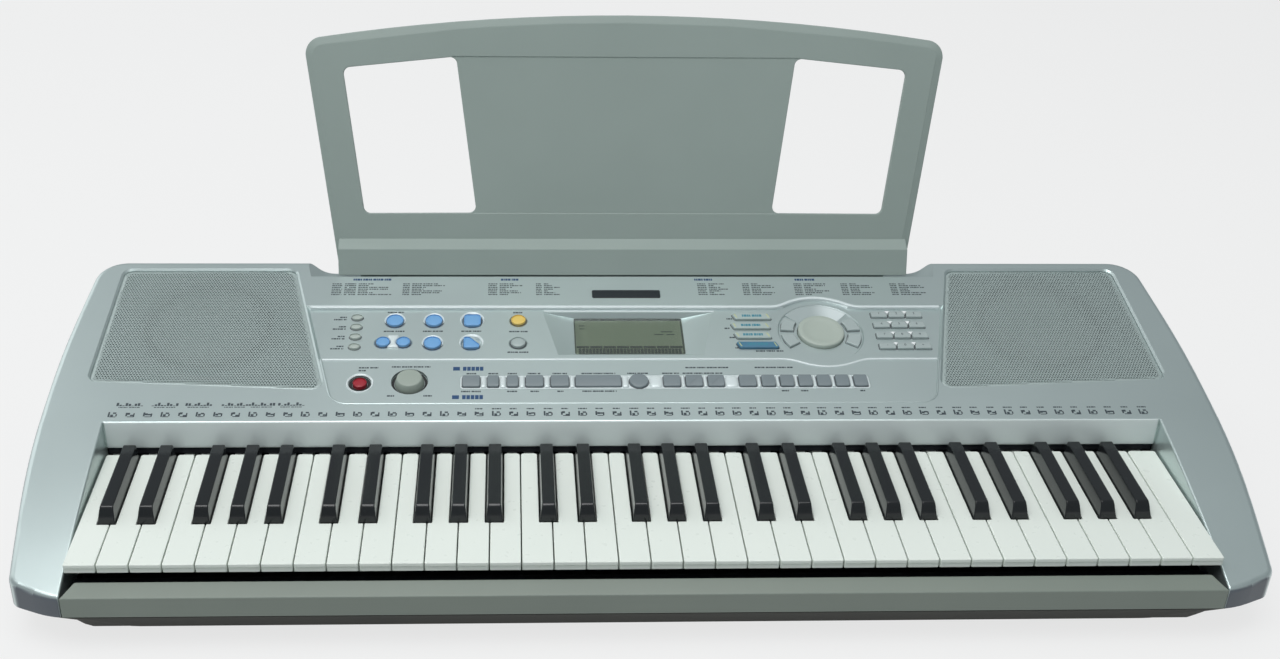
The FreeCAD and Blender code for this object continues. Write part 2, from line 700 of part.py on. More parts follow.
def top_case():
    baffle_low = -GRILLE_POCKET - BAFFLE_WALL
    cavity = top_profile(CASE_WALL).common(plan_prism(CASE_WALL, 0, PART_LINE + WELL_ABOVE))
    keep = [well(WELL_WALL, PANEL_EDGE_Y + WELL_WALL, 0)]
    keep.append(on_panel(panel_area(TRAY_FRONT - CASE_WALL, BAND_REAR + CASE_WALL, PAD_UNDER, 0)))
    keep.append(on_panel(rod(DIAL_X, DIAL_ALONG, PAD_UNDER, 0, DIAL_HUMP + CASE_WALL)))
    bezel = rectangle(0, (BEZEL_FRONT + BEZEL_REAR) / 2, 2 * BEZEL_REAR_HALF, BEZEL_REAR - BEZEL_FRONT)
    bezel = rounded(grown(bezel, CASE_WALL), 0)
    keep.append(on_panel(raised(bezel, -WINDOW_DROP - WINDOW_THICK, 0)))
    for side in (-1, 1):
        keep.append(grille_prism(side, CASE_WALL, baffle_low, 0))
    for x, along in board_posts():
        keep.append(on_panel(rod(x, along, BOARD_TOP, 0, BOARD_POST_RADIUS)))
    keep.append(trough(CASE_WALL))
    keep.append(tongue_slot(CASE_WALL))
    for x, y in screw_places():
        keep.append(rod(x, y, FLOOR_TOP, PART_LINE + WELL_ABOVE, POST_RADIUS))
    cavity = cavity.cut(keep)
    shell = case_hull().cut(cavity)
    legs = []
    for x, y in screw_places():
        legs.append(rod(x, y, FLOOR_TOP, PART_LINE + OVERCUT, POST_RADIUS))
    shell = joined(shell, legs)

    cuts = [sunk(panel_corners(BAND_FRONT, BAND_REAR), [0, 0, 0, 0], BAND_DEPTH, BAND_DEPTH)]
    cuts.append(sunk_round(DIAL_X, DIAL_ALONG, DIAL_HUMP, BAND_DEPTH, BAND_DEPTH))
    tray_radii = [TRAY_CORNER, TRAY_CORNER, 0, 0]
    cuts.append(sunk(panel_corners(TRAY_FRONT, BAND_FRONT), tray_radii, TRAY_DEPTH, TRAY_DEPTH))
    dish_rim = BAND_DEPTH + DISH_RIM
    cuts.append(sunk_round(DIAL_X, DIAL_ALONG, DIAL_DISH, DISH_DEPTH, dish_rim))
    cuts.append(on_panel(rod(DIAL_X, DIAL_ALONG, PAD_UNDER - OVERCUT, 0, DIAL_RADIUS + DIAL_GAP)))
    cuts.append(on_panel(rod(KNOB_X, KNOB_ALONG, -KNOB_SINK, 0, KNOB_DISH)))
    cuts.append(on_panel(rod(KNOB_X, KNOB_ALONG, PAD_UNDER - OVERCUT, 0, HUB_RADIUS + DIAL_GAP)))
    cuts.append(on_panel(rod(POWER_X, POWER_ALONG, -POWER_SINK, 0, POWER_DISH)))
    cuts.append(on_panel(strip_outline(FIT_GAP, -TRAY_DEPTH - STRIP_THICK, 0)))
    cuts.append(on_panel(badge_outline(FIT_GAP, -BADGE_SINK, OVERCUT)))
    cuts.append(on_panel(display_recess()))
    window = rectangle(0, (WINDOW_FRONT + WINDOW_REAR) / 2, 2 * WINDOW_HALF, WINDOW_REAR - WINDOW_FRONT)
    cuts.append(on_panel(raised(rounded(window, BUTTON_CORNER), -WINDOW_DROP - WINDOW_THICK - OVERCUT, 0)))
    for x, along, size in dished_buttons():
        dish = BAND_DEPTH + BUTTON_DISH
        cuts.append(sunk_round(x, along, size / 2 + BUTTON_DISH_LEAD, dish, dish))
    for group in BUTTONS.values():
        for outline, top in group:
            cuts.append(on_panel(raised(outline(BUTTON_GAP), PAD_UNDER - OVERCUT / 2, 0)))
    for side in (-1, 1):
        corners = counter_clockwise(grille_points(side))
        cuts.append(sunk(corners, [GRILLE_CORNER] * len(corners), GRILLE_DROP + GRILLE_SHEET, GRILLE_RIM))
        cuts.append(grille_prism(side, -GRILLE_LEDGE, -GRILLE_POCKET, 0))
        hole = rod(speaker_x(side), SPEAKER_ALONG, baffle_low - OVERCUT, 0, SPEAKER_RADIUS)
        cuts.append(on_panel(hole))
    cuts.append(trough(0))
    cuts.append(tongue_slot(0))
    cuts.append(socket_plate_blank(FIT_GAP / 2, OVERCUT))
    for x, y in screw_places():
        cuts.append(rod(x, y, 0, FLOOR_TOP + SCREW_BITE, SCREW_RADIUS))
    return shell.cut(cuts)


def pan_wire(z, inward):
    """Outline of the lower pan at a height between the parting line and its floor."""
    share = (PART_LINE - z) / (PART_LINE - FOOT_HEIGHT)
    insets = [share * inset + inward for inset in (PAN_FRONT_INSET, PAN_SIDE_INSET, PAN_REAR_INSET)]
    wire = plan_wire(*insets, inward)
    wire.translate(Vector(0, 0, z))
    return wire


def cover_section(grow, x0, x1):
    """Dovetail section of the battery cover, narrower at the outside so that it can't drop."""
    low = FOOT_HEIGHT - (OVERCUT if grow else 0)
    high = FOOT_HEIGHT + COVER_THICK + grow
    wide = BATTERY_WIDTH / 2 + COVER_LIP + grow
    narrow = wide - COVER_BEVEL
    slope = COVER_BEVEL / COVER_THICK
    mouth = narrow - slope * (FOOT_HEIGHT - low)
    points = [
        (BATTERY_Y - mouth, low),
        (BATTERY_Y + mouth, low),
        (BATTERY_Y + wide, high),
        (BATTERY_Y - wide, high),
    ]
    return side_prism(points, x0, x1)


def cover_ends():
    return BATTERY_X - BATTERY_LENGTH / 2 - COVER_LIP, BATTERY_X + BATTERY_LENGTH / 2 + COVER_LIP


def battery_mouth(grow, z0, z1):
    half = BATTERY_LENGTH / 2 + grow
    deep = BATTERY_WIDTH / 2 + grow
    return block(BATTERY_X - half, BATTERY_X + half, BATTERY_Y - deep, BATTERY_Y + deep, z0, z1)


def bed_standoffs():
    end = FIELD_HALF - STANDOFF_INSET
    step = 2 * end / (STANDOFF_COLUMNS - 1)
    rows = (BED_FRONT + STOP_RAIL_WIDTH / 2, HINGE_Y - STANDOFF_REAR)
    return [(i * step - end, y) for i in range(STANDOFF_COLUMNS) for y in rows]


def main_board_corners():
    half_x = MAIN_BOARD_SIZE[0] / 2 - STANDOFF_RADIUS
    half_y = MAIN_BOARD_SIZE[1] / 2 - STANDOFF_RADIUS
    return [(MAIN_BOARD_X + i * half_x, BATTERY_Y + j * half_y) for i in (-1, 1) for j in (-1, 1)]


def pad_top():
    """Inside height of the pan floor where the battery cover runs below it."""
    return FOOT_HEIGHT + COVER_THICK + SEAT_GAP + PAN_WALL


def bottom_case():
    outer = Part.makeLoft([pan_wire(FOOT_HEIGHT, 0), pan_wire(PART_LINE, 0)], True, True)
    inside = [pan_wire(FLOOR_TOP, PAN_WALL), pan_wire(PART_LINE + OVERCUT, PAN_WALL)]
    pan = outer.cut(Part.makeLoft(inside, True, True))
    x0, x1 = cover_ends()
    track = BATTERY_WIDTH / 2 + COVER_LIP + PAN_WALL
    left, right = x0 - PAN_WALL, x1 + COVER_TRAVEL + PAN_WALL
    pads = [block(left, right, BATTERY_Y - track, BATTERY_Y + track, FOOT_HEIGHT, pad_top())]
    for x, y in bed_standoffs():
        pads.append(rod(x, y, FOOT_HEIGHT, BED_TOP - BED_PLATE, STANDOFF_RADIUS))
    for x, y in main_board_corners():
        pads.append(rod(x, y, FOOT_HEIGHT, FLOOR_TOP + MAIN_BOARD_LIFT, STANDOFF_RADIUS))
    pan = joined(pan, pads)
    cuts = [cover_section(SEAT_GAP, x0 - SEAT_GAP, x1 + COVER_TRAVEL + SEAT_GAP)]
    cuts.append(battery_mouth(0, 0, PART_LINE))
    for x, y in screw_places():
        cuts.append(rod(x, y, 0, PART_LINE, SCREW_RADIUS + FIT_GAP / 2))
        cuts.append(rod(x, y, 0, FOOT_HEIGHT + SCREW_HEAD_HEIGHT, SCREW_HEAD + FIT_GAP))
    return pan.cut(cuts)


def key_slip():
    top = KEY_TOP - SLIP_TOP_DROP
    ridge = KEY_TOP - SLIP_RIDGE_DROP
    back = -SLIP_BACK_GAP
    front = -FRONT_REACH
    points = [
        (back, top),
        (front, ridge),
        (front, PART_LINE),
        (front + SLIP_WALL, PART_LINE),
        (front + SLIP_WALL, ridge - SLIP_WALL),
        (back, top - SLIP_WALL),
    ]
    half = WELL_HALF - FIT_GAP
    rear_half = half - SLIP_END_SLANT
    ends = [(-half, front), (half, front), (rear_half, back), (-rear_half, back)]
    return side_prism(points, -half, half).common(raised(rounded(ends, 0), 0, top + OVERCUT))


def rubber_feet():
    feet = []
    for x, y in FOOT_PLACES:
        for side in (-1, 1):
            feet.append(rod(side * x, y, 0, FOOT_HEIGHT, FOOT_RADIUS))
    return Part.makeCompound(feet)


def case_screws():
    screws = []
    for x, y in screw_places():
        shank = rod(x, y, FOOT_HEIGHT, FLOOR_TOP + SCREW_BITE - SEAT_GAP, SCREW_RADIUS)
        head = rod(x, y, FOOT_HEIGHT, FOOT_HEIGHT + SCREW_HEAD_HEIGHT, SCREW_HEAD)
        screws.append(joined(shank, [head]))
    return Part.makeCompound(screws)


# Keys. White keys are numbered from 0 at the bottom C; a sharp is named by the white key below it.

SHARP_SHIFT = {
    0: -SHIFT_INNER_SHARP,
    1: SHIFT_INNER_SHARP,
    3: -SHIFT_OUTER_SHARP,
    4: 0.0,
    5: SHIFT_OUTER_SHARP,
}


def white_left(index):
    return -FIELD_HALF + index * KEY_PITCH


def sharp_x(index):
    """Middle of the black key between white keys index and index + 1."""
    return white_left(index + 1) + SHARP_SHIFT[index % WHITES_IN_OCTAVE]


def has_sharp(index):
    inside = 0 <= index < WHITE_COUNT - 1
    return inside and index % WHITES_IN_OCTAVE in SHARP_SHIFT


def hinge_tail(x, front):
    """Arm behind the playing part, ending in the knuckle that turns on the hinge rod."""
    half = KEY_TAIL_WIDTH / 2
    top = KEY_TOP - KEY_TAIL_DROP
    arm = block(x - half, x + half, front, HINGE_Y, top - KEY_TAIL_HEIGHT, top)
    eye = rod_x(x - half, x + half, HINGE_Y, HINGE_Z, HINGE_ROD_RADIUS + HINGE_KNUCKLE_WALL)
    return arm, eye


def hinge_bore(x):
    half = KEY_TAIL_WIDTH / 2 + OVERCUT
    return rod_x(x - half, x + half, HINGE_Y, HINGE_Z, HINGE_ROD_RADIUS + HINGE_PLAY)


def white_outline(index):
    """Corners of a white key seen from above, each with the radius that rounds it."""
    left = white_left(index) + KEY_GAP / 2
    right = white_left(index + 1) - KEY_GAP / 2
    notch = BLACK_WIDTH / 2 + BLACK_CLEARANCE
    stem_left = sharp_x(index - 1) + notch if has_sharp(index - 1) else left
    stem_right = sharp_x(index) - notch if has_sharp(index) else right
    head_end = BLACK_FRONT - BLACK_CLEARANCE
    corners = [(left, 0, KEY_FRONT_CORNER), (right, 0, KEY_FRONT_CORNER)]
    if stem_right < right:
        corners.append((right, head_end, KEY_NOTCH_CORNER))
        corners.append((stem_right, head_end, KEY_NOTCH_CORNER))
    corners.append((stem_right, KEY_LENGTH, KEY_REAR_CORNER))
    corners.append((stem_left, KEY_LENGTH, KEY_REAR_CORNER))
    if stem_left > left:
        corners.append((stem_left, head_end, KEY_NOTCH_CORNER))
        corners.append((left, head_end, KEY_NOTCH_CORNER))
    return [(x, y) for x, y, radius in corners], [radius for x, y, radius in corners]


def white_key(index):
    points, radii = white_outline(index)
    key = raised(rounded(points, radii), KEY_BOTTOM, KEY_TOP)
    low = KEY_BOTTOM - OVERCUT
    hollow = raised(rounded(grown(points, -KEY_SKIN), 0), low, KEY_TOP - KEY_SKIN)
    left, right = white_left(index), white_left(index + 1)
    undercut = block(left, right, -OVERCUT, KEY_UNDERCUT, low, KEY_TOP - KEY_FRONT)
    groove_top = KEY_TOP - KEY_LIP
    groove = block(left, right, -OVERCUT, KEY_LIP_GROOVE, groove_top - KEY_LIP_GROOVE, groove_top)
    rear = [x for x, y in points if y == KEY_LENGTH]
    middle = sum(rear) / len(rear)
    arm, eye = hinge_tail(middle, KEY_LENGTH - KEY_SKIN)
    return joined(key.cut([hollow, undercut, groove]), [arm, eye]).cut(hinge_bore(middle))


def black_key(index):
    x = sharp_x(index)
    rear = KEY_LENGTH - BLACK_REAR_GAP
    top = KEY_TOP + BLACK_HEIGHT
    nose = BLACK_FRONT + BLACK_FRONT_LEAN
    crown = nose + BLACK_NOSE
    half, top_half = BLACK_WIDTH / 2, BLACK_TOP_WIDTH / 2
    side_view = [
        (BLACK_FRONT, KEY_BOTTOM),
        (BLACK_FRONT, KEY_TOP),
        (nose, top - BLACK_NOSE),
        (crown, top),
        (rear, top),
        (rear, KEY_BOTTOM),
    ]
    end_view = [
        (x - half, KEY_BOTTOM),
        (x + half, KEY_BOTTOM),
        (x + half, KEY_TOP),
        (x + top_half, top),
        (x - top_half, top),
        (x - half, KEY_TOP),
    ]
    corners = [Vector(px, BLACK_FRONT, pz) for px, pz in end_view]
    section = Part.Face(Part.makePolygon(corners + corners[:1]))
    length = section.extrude(Vector(0, rear - BLACK_FRONT, 0))
    body = length.common(side_prism(side_view, x - half, x + half))
    inner = top_half - KEY_SKIN
    low = KEY_BOTTOM - OVERCUT
    hollow = block(x - inner, x + inner, crown + KEY_SKIN, rear - KEY_SKIN, low, top - KEY_SKIN)
    arm, eye = hinge_tail(x, rear - KEY_SKIN)
    return joined(body.cut(hollow), [arm, eye]).cut(hinge_bore(x))


def key_groups():
    """Keys of one moulding share a node: four naturals, three naturals and five sharps an octave."""
    groups = {}
    for octave in range(OCTAVES):
        first = octave * WHITES_IN_OCTAVE
        name = f"octave_{octave + 1}"
        groups[name + "_white_c_e_g_b"] = [white_key(first + i) for i in (0, 2, 4, 6)]
        groups[name + "_white_d_f_a"] = [white_key(first + i) for i in (1, 3, 5)]
        groups[name + "_black_keys"] = [black_key(first + i) for i in sorted(SHARP_SHIFT)]
    groups["top_c_key"] = [white_key(WHITE_COUNT - 1)]
    return {name: Part.makeCompound(keys) for name, keys in groups.items()}


# Key bed


def bed_half():
    return WELL_HALF - FIT_GAP


def bracket_places():
    end = bed_half() - BRACKET_THICK / 2
    inner = [white_left(octave * WHITES_IN_OCTAVE) for octave in range(1, OCTAVES + 1)]
    return [-end] + inner + [end]


def pressed_bottom(y):
    """Height of the underside of a fully pressed white key at a place along its length."""
    return KEY_BOTTOM - (HINGE_Y - y) * DIP_SINE


def felt_top():
    return pressed_bottom(BED_FRONT) - SEAT_GAP


def contact_top():
    """Top of the rubber domes, which the keys reach at the end of their stroke."""
    return pressed_bottom(CONTACT_Y - DOME_STRIP_WIDTH / 2) - SEAT_GAP


def contact_board_top():
    return contact_top() - DOME_HEIGHT - DOME_STRIP


def key_bed():
    half = bed_half()
    low = BED_TOP - BED_PLATE
    rear = HINGE_Y + BRACKET_REACH
    plate = block(-half, half, BED_FRONT, rear, low, BED_TOP)
    rail = block(-half, half, BED_FRONT, BED_FRONT + STOP_RAIL_WIDTH, low, felt_top() - FELT_HEIGHT)
    near = CONTACT_Y - CONTACT_BOARD_WIDTH / 2
    far = CONTACT_Y + CONTACT_BOARD_WIDTH / 2
    shelf = block(-half, half, near, far, low, contact_board_top() - BOARD_THICK)
    pieces = [rail, shelf]
    bores = []
    for x in bracket_places():
        x0, x1 = x - BRACKET_THICK / 2, x + BRACKET_THICK / 2
        top = HINGE_Z + HINGE_ROD_RADIUS + HINGE_KNUCKLE_WALL
        pieces.append(block(x0, x1, HINGE_Y - BRACKET_REACH, rear, low, top))
        bores.append(rod_x(x0 - OVERCUT, x1 + OVERCUT, HINGE_Y, HINGE_Z, HINGE_ROD_RADIUS))
    return joined(plate, pieces).cut(bores)


def hinge_rod():
    half = bed_half()
    return rod_x(-half, half, HINGE_Y, HINGE_Z, HINGE_ROD_RADIUS)


def key_stop_felt():
    middle = BED_FRONT + STOP_RAIL_WIDTH / 2
    y0, y1 = middle - FELT_WIDTH / 2, middle + FELT_WIDTH / 2
    return block(-FIELD_HALF, FIELD_HALF, y0, y1, felt_top() - FELT_HEIGHT, felt_top())


def key_contact_board():
    top = contact_board_top()
    half = CONTACT_BOARD_WIDTH / 2
    return block(-FIELD_HALF, FIELD_HALF, CONTACT_Y - half, CONTACT_Y + half, top - BOARD_THICK, top)


def key_contact_rubber():
    low = contact_board_top()
    half = DOME_STRIP_WIDTH / 2
    strip = block(-FIELD_HALF, FIELD_HALF, CONTACT_Y - half, CONTACT_Y + half, low, low + DOME_STRIP)
    domes = []
    for index in range(WHITE_COUNT):
        middle = white_left(index) + KEY_PITCH / 2
        domes.append(rod(middle, CONTACT_Y, low, contact_top(), DOME_RADIUS))
    return joined(strip, domes)


# Buttons. Each entry of a group is an outline that can grow and the height of its top.


def round_button(x, along, size):
    def outline(grow):
        return Part.Wire(Part.makeCircle(size / 2 + grow, Vector(x, along, 0)))

    return outline


def oval_button(x, along, width, depth):
    def outline(grow):
        oval = Part.Ellipse(Vector(x, along, 0), width / 2 + grow, depth / 2 + grow)
        return Part.Wire(oval.toShape())

    return outline


def corner_button(points, radius):
    def outline(grow):
        return rounded(grown(points, grow), radius + grow)

    return outline


def ring_button(turn):
    """Piece of a ring round the dial, at an angle from the X axis."""

    def outline(grow):
        inner, outer = DIAL_RING_IN - grow, DIAL_RING_OUT + grow

        def at(radius, angle):
            angle = math.radians(angle)
            return Vector(DIAL_X + radius * math.cos(angle), DIAL_ALONG + radius * math.sin(angle), 0)

        inner_half = DIAL_BUTTON_HALF + math.degrees(grow / inner)
        outer_half = DIAL_BUTTON_HALF + math.degrees(grow / outer)
        edges = [
            Part.Arc(at(outer, turn - outer_half), at(outer, turn), at(outer, turn + outer_half)).toShape(),
            Part.LineSegment(at(outer, turn + outer_half), at(inner, turn + inner_half)).toShape(),
            Part.Arc(at(inner, turn + inner_half), at(inner, turn), at(inner, turn - inner_half)).toShape(),
            Part.LineSegment(at(inner, turn - inner_half), at(outer, turn - outer_half)).toShape(),
        ]
        return Part.Wire(edges)

    return outline


def row_button(x, width):
    return corner_button(rectangle(x, ROW_ALONG, width, ROW_DEPTH), BUTTON_CORNER)


def slanted(x, along, width):
    half, deep, slant = width / 2, CATEGORY_DEPTH / 2, CATEGORY_SLANT / 2
    return [
        (x - half + slant, along - deep),
        (x + half + slant, along - deep),
        (x + half - slant, along + deep),
        (x - half - slant, along + deep),
    ]


def band_group(outlines):
    return [(outline, -BAND_DEPTH + BAND_CAP_RISE) for outline in outlines]


def tray_group(outlines):
    return [(outline, -TRAY_DEPTH + TRAY_CAP_RISE) for outline in outlines]


def dish_group(outlines):
    return [(outline, -DISH_DEPTH + BAND_CAP_RISE) for outline in outlines]


def number_cell(column, along):
    """Corners of a number cap, with a notch at each rear corner that faces a neighbour."""
    wide, deep = NUMBER_SIZE
    across, back = NUMBER_NOTCH
    x = NUMBER_X + column * NUMBER_PITCH
    left, right = x - wide / 2, x + wide / 2
    front, rear = along - deep / 2, along + deep / 2
    corners = [(left, front), (right, front)]
    corners += [(right, rear - back), (right - across, rear)] if column < 1 else [(right, rear)]
    corners += [(left + across, rear), (left, rear - back)] if column > -1 else [(left, rear)]
    return corners


def number_outlines():
    cells = [number_cell(column, along) for along in NUMBER_ROWS for column in (-1, 0, 1)]
    return [corner_button(cell, NUMBER_CORNER) for cell in cells]


def blue_outlines():
    outlines = [round_button(x, along, BLUE_SIZE) for x, along in BLUE_PLACES]
    square = rectangle(*BLUE_SQUARE_PLACE, BLUE_SIZE, BLUE_SIZE)
    sail = [(BLUE_SAIL_PLACE[0] + x, BLUE_SAIL_PLACE[1] + along) for x, along in BLUE_SAIL]
    outlines.append(corner_button(square, BLUE_SQUARE_CORNER))
    outlines.append(corner_button(sail, BLUE_SAIL_CORNER))
    return outlines + [round_button(x, along, PAIR_SIZE) for x, along in PAIR_PLACES]


def dished_buttons():
    """Middle and size of each button that sits in a round dish of the band."""
    large = BLUE_PLACES + (BLUE_SQUARE_PLACE, BLUE_SAIL_PLACE)
    places = [(x, along, BLUE_SIZE) for x, along in large]
    places += [(x, along, PAIR_SIZE) for x, along in PAIR_PLACES]
    return places + [(x, along, SINGLE_SIZE) for x, along in (YELLOW_PLACE, GREY_PLACE)]


def memory_row():
    pads = [(MEMORY_FIRST + i * MEMORY_PITCH, MEMORY_WIDTH) for i in range(MEMORY_COUNT)]
    return [BANK_BUTTON] + pads


BUTTONS = {
    "power_button": [(round_button(POWER_X, POWER_ALONG, 2 * POWER_RADIUS), POWER_RISE)],
    "oval_buttons": band_group([oval_button(OVAL_X, along, *OVAL_SIZE) for along in OVAL_ROWS]),
    "blue_buttons": band_group(blue_outlines()),
    "yellow_button": band_group([round_button(*YELLOW_PLACE, SINGLE_SIZE)]),
    "grey_button": band_group([round_button(*GREY_PLACE, SINGLE_SIZE)]),
    "category_buttons": band_group([corner_button(slanted(*p), BUTTON_CORNER) for p in CATEGORY_PLACES]),
    "dial_buttons": dish_group([ring_button(turn) for turn in DIAL_BUTTON_TURNS]),
    "number_buttons": band_group(number_outlines()),
    "style_buttons": tray_group([row_button(x, width) for x, width in STYLE_ROW]),
    "start_button": tray_group([row_button(*START_BUTTON)]),
    "sync_button": tray_group([round_button(SYNC_BUTTON[0], ROW_ALONG, SYNC_BUTTON[1])]),
    "setting_buttons": tray_group([row_button(x, width) for x, width in SETTING_ROW]),
    "memory_buttons": tray_group([row_button(x, width) for x, width in memory_row()]),
}


def button_cap(outline, top):
    cap = raised(outline(0), FLANGE_TOP - FLANGE_THICK, top)
    rim = [edge for edge in cap.Edges if edge.BoundBox.ZMin > top - HAIR]
    cap = cap.makeFillet(CAP_ROUND, rim)
    flange = raised(outline(BUTTON_FLANGE), FLANGE_TOP - FLANGE_THICK, FLANGE_TOP)
    spot = button_spot(outline)
    stem = rod(spot.x, spot.y, STEM_END, FLANGE_TOP, STEM_RADIUS)
    return on_panel(joined(cap, [flange, stem]))


def button_spot(outline):
    return Part.Face(outline(0)).CenterOfMass


def button_groups():
    groups = {}
    for name, group in BUTTONS.items():
        caps = [button_cap(outline, top) for outline, top in group]
        groups[name] = Part.makeCompound(caps)
    return groups


# Control panel fittings


def strip_outline(grow, w0, w1):
    middle = (STRIP_LEFT + STRIP_RIGHT) / 2
    area = rectangle(middle, ROW_ALONG, STRIP_RIGHT - STRIP_LEFT, 2 * STRIP_HALF)
    return raised(rounded(grown(area, grow), STRIP_CORNER + grow), w0, w1)


def badge_outline(grow, w0, w1):
    area = rectangle(0, BADGE_ALONG, BADGE_LENGTH, BADGE_DEPTH)
    return raised(rounded(grown(area, grow), BUTTON_CORNER + grow), w0, w1)


def display_recess():
    top = -BAND_DEPTH + RECESS_OVERCUT
    spread = (top + WINDOW_DROP) / (WINDOW_DROP - BAND_DEPTH)

    def between(inner, outer):
        return inner + (outer - inner) * spread

    front_half = between(WINDOW_HALF, BEZEL_FRONT_HALF)
    rear_half = between(WINDOW_HALF, BEZEL_REAR_HALF)
    front = between(WINDOW_FRONT, BEZEL_FRONT)
    rear = between(WINDOW_REAR, BEZEL_REAR)
    mouth = [(-front_half, front), (front_half, front), (rear_half, rear), (-rear_half, rear)]
    floor = [
        (-WINDOW_HALF, WINDOW_FRONT),
        (WINDOW_HALF, WINDOW_FRONT),
        (WINDOW_HALF, WINDOW_REAR),
        (-WINDOW_HALF, WINDOW_REAR),
    ]
    high = Part.makePolygon([Vector(*p, top) for p in mouth + mouth[:1]])
    low = Part.makePolygon([Vector(*p, -WINDOW_DROP) for p in floor + floor[:1]])
    return Part.makeLoft([low, high], True, True)


def button_strip():
    strip = strip_outline(0, -TRAY_DEPTH - STRIP_THICK, -TRAY_DEPTH)
    holes = []
    for name in ("style_buttons", "start_button", "sync_button", "setting_buttons", "memory_buttons"):
        for outline, top in BUTTONS[name]:
            holes.append(raised(outline(BUTTON_GAP), -TRAY_DEPTH - STRIP_THICK - OVERCUT, 0))
    return on_panel(strip.cut(holes))


def badge_plate():
    return on_panel(badge_outline(0, -BADGE_SINK, BADGE_THICK - BADGE_SINK))


def display_window():
    middle = (WINDOW_FRONT + WINDOW_REAR) / 2
    area = rectangle(0, middle, 2 * WINDOW_HALF, WINDOW_REAR - WINDOW_FRONT)
    pane = rounded(grown(area, -SEAT_GAP), BUTTON_CORNER - SEAT_GAP)
    return on_panel(raised(pane, -WINDOW_DROP - WINDOW_THICK, -WINDOW_DROP))


def display_module():
    middle = (WINDOW_FRONT + WINDOW_REAR) / 2
    area = rectangle(0, middle, 2 * WINDOW_HALF, WINDOW_REAR - WINDOW_FRONT)
    frame = rounded(grown(area, DISPLAY_MARGIN), BUTTON_CORNER)
    return on_panel(raised(frame, BOARD_TOP, -WINDOW_DROP - WINDOW_THICK - SEAT_GAP / 2))


def panel_board():
    board = block(-BOARD_LEFT, BOARD_RIGHT, BOARD_FRONT, BOARD_REAR, BOARD_TOP - BOARD_THICK, BOARD_TOP)
    switches = []
    for group in BUTTONS.values():
        for outline, top in group:
            spot = button_spot(outline)
            foot = rectangle(spot.x, spot.y, SWITCH_SIZE, SWITCH_SIZE)
            switches.append(raised(rounded(foot, 0), BOARD_TOP, SWITCH_TOP))
    return on_panel(joined(board, switches))


def rotary_sensors():
    sensors = []
    half = SENSOR_SIZE / 2
    for x, along in ((DIAL_X, DIAL_ALONG), (KNOB_X, KNOB_ALONG)):
        body = block(x - half, x + half, along - half, along + half, BOARD_TOP, -SENSOR_TOP)
        hole = rod(x, along, -SHAFT_REACH - SEAT_GAP, 0, SHAFT_RADIUS + SHAFT_PLAY)
        sensors.append(on_panel(body.cut(hole)))
    return Part.makeCompound(sensors)


def data_dial():
    low = DIAL_RISE - DIAL_THICK
    disc = rod(DIAL_X, DIAL_ALONG, low, DIAL_RISE, DIAL_RADIUS)
    rim = [edge for edge in disc.Edges if edge.BoundBox.ZMin > DIAL_RISE - HAIR]
    disc = disc.makeFillet(KNOB_ROUND, rim)
    hub = rod(DIAL_X, DIAL_ALONG, -SENSOR_TOP + SEAT_GAP, low, HUB_RADIUS)
    shaft = rod(DIAL_X, DIAL_ALONG, -SHAFT_REACH, low, SHAFT_RADIUS)
    return on_panel(joined(disc, [hub, shaft]))


def volume_knob():
    low = -KNOB_SINK + SEAT_GAP
    cap = rod(KNOB_X, KNOB_ALONG, low, KNOB_RISE, KNOB_RADIUS)
    rim = [edge for edge in cap.Edges if edge.BoundBox.ZMin > KNOB_RISE - HAIR]
    cap = cap.makeFillet(KNOB_ROUND, rim)
    hub = rod(KNOB_X, KNOB_ALONG, -SENSOR_TOP + SEAT_GAP, low, HUB_RADIUS)
    shaft = rod(KNOB_X, KNOB_ALONG, -SHAFT_REACH, low, SHAFT_RADIUS)
    return on_panel(joined(cap, [hub, shaft]))


# Grilles and speakers


def speaker_grille(side):
    low = -GRILLE_DROP - GRILLE_SHEET
    return grille_prism(side, -FIT_GAP, low, low + GRILLE_SHEET)


def spun(points, x, along):
    """Solid turned about the speaker axis from (radius, above the panel) points."""
    corners = [Vector(radius, 0, w) for radius, w in points]
    face = Part.Face(Part.makePolygon(corners + corners[:1]))
    solid = face.revolve(Vector(0, 0, 0), Vector(0, 0, 1), 360)
    solid.translate(Vector(x, along, 0))
    return on_panel(solid)


def speaker_frames():
    top = -GRILLE_POCKET - BAFFLE_WALL
    ring = top - FLANGE_PLATE
    foot = ring - BASKET_DEPTH
    outer = SPEAKER_RADIUS + SPEAKER_FLANGE
    points = [
        (outer, top),
        (outer, ring),
        (SPEAKER_RADIUS, ring),
        (MAGNET_RADIUS, foot),
        (MAGNET_RADIUS, foot - MAGNET_HEIGHT),
        (0, foot - MAGNET_HEIGHT),
        (0, foot + BASKET_WALL),
        (MAGNET_RADIUS - BASKET_WALL, foot + BASKET_WALL),
        (SPEAKER_RADIUS - BASKET_WALL, ring),
        (SPEAKER_RADIUS - BASKET_WALL, top),
    ]
    return Part.makeCompound([spun(points, speaker_x(side), SPEAKER_ALONG) for side in (-1, 1)])


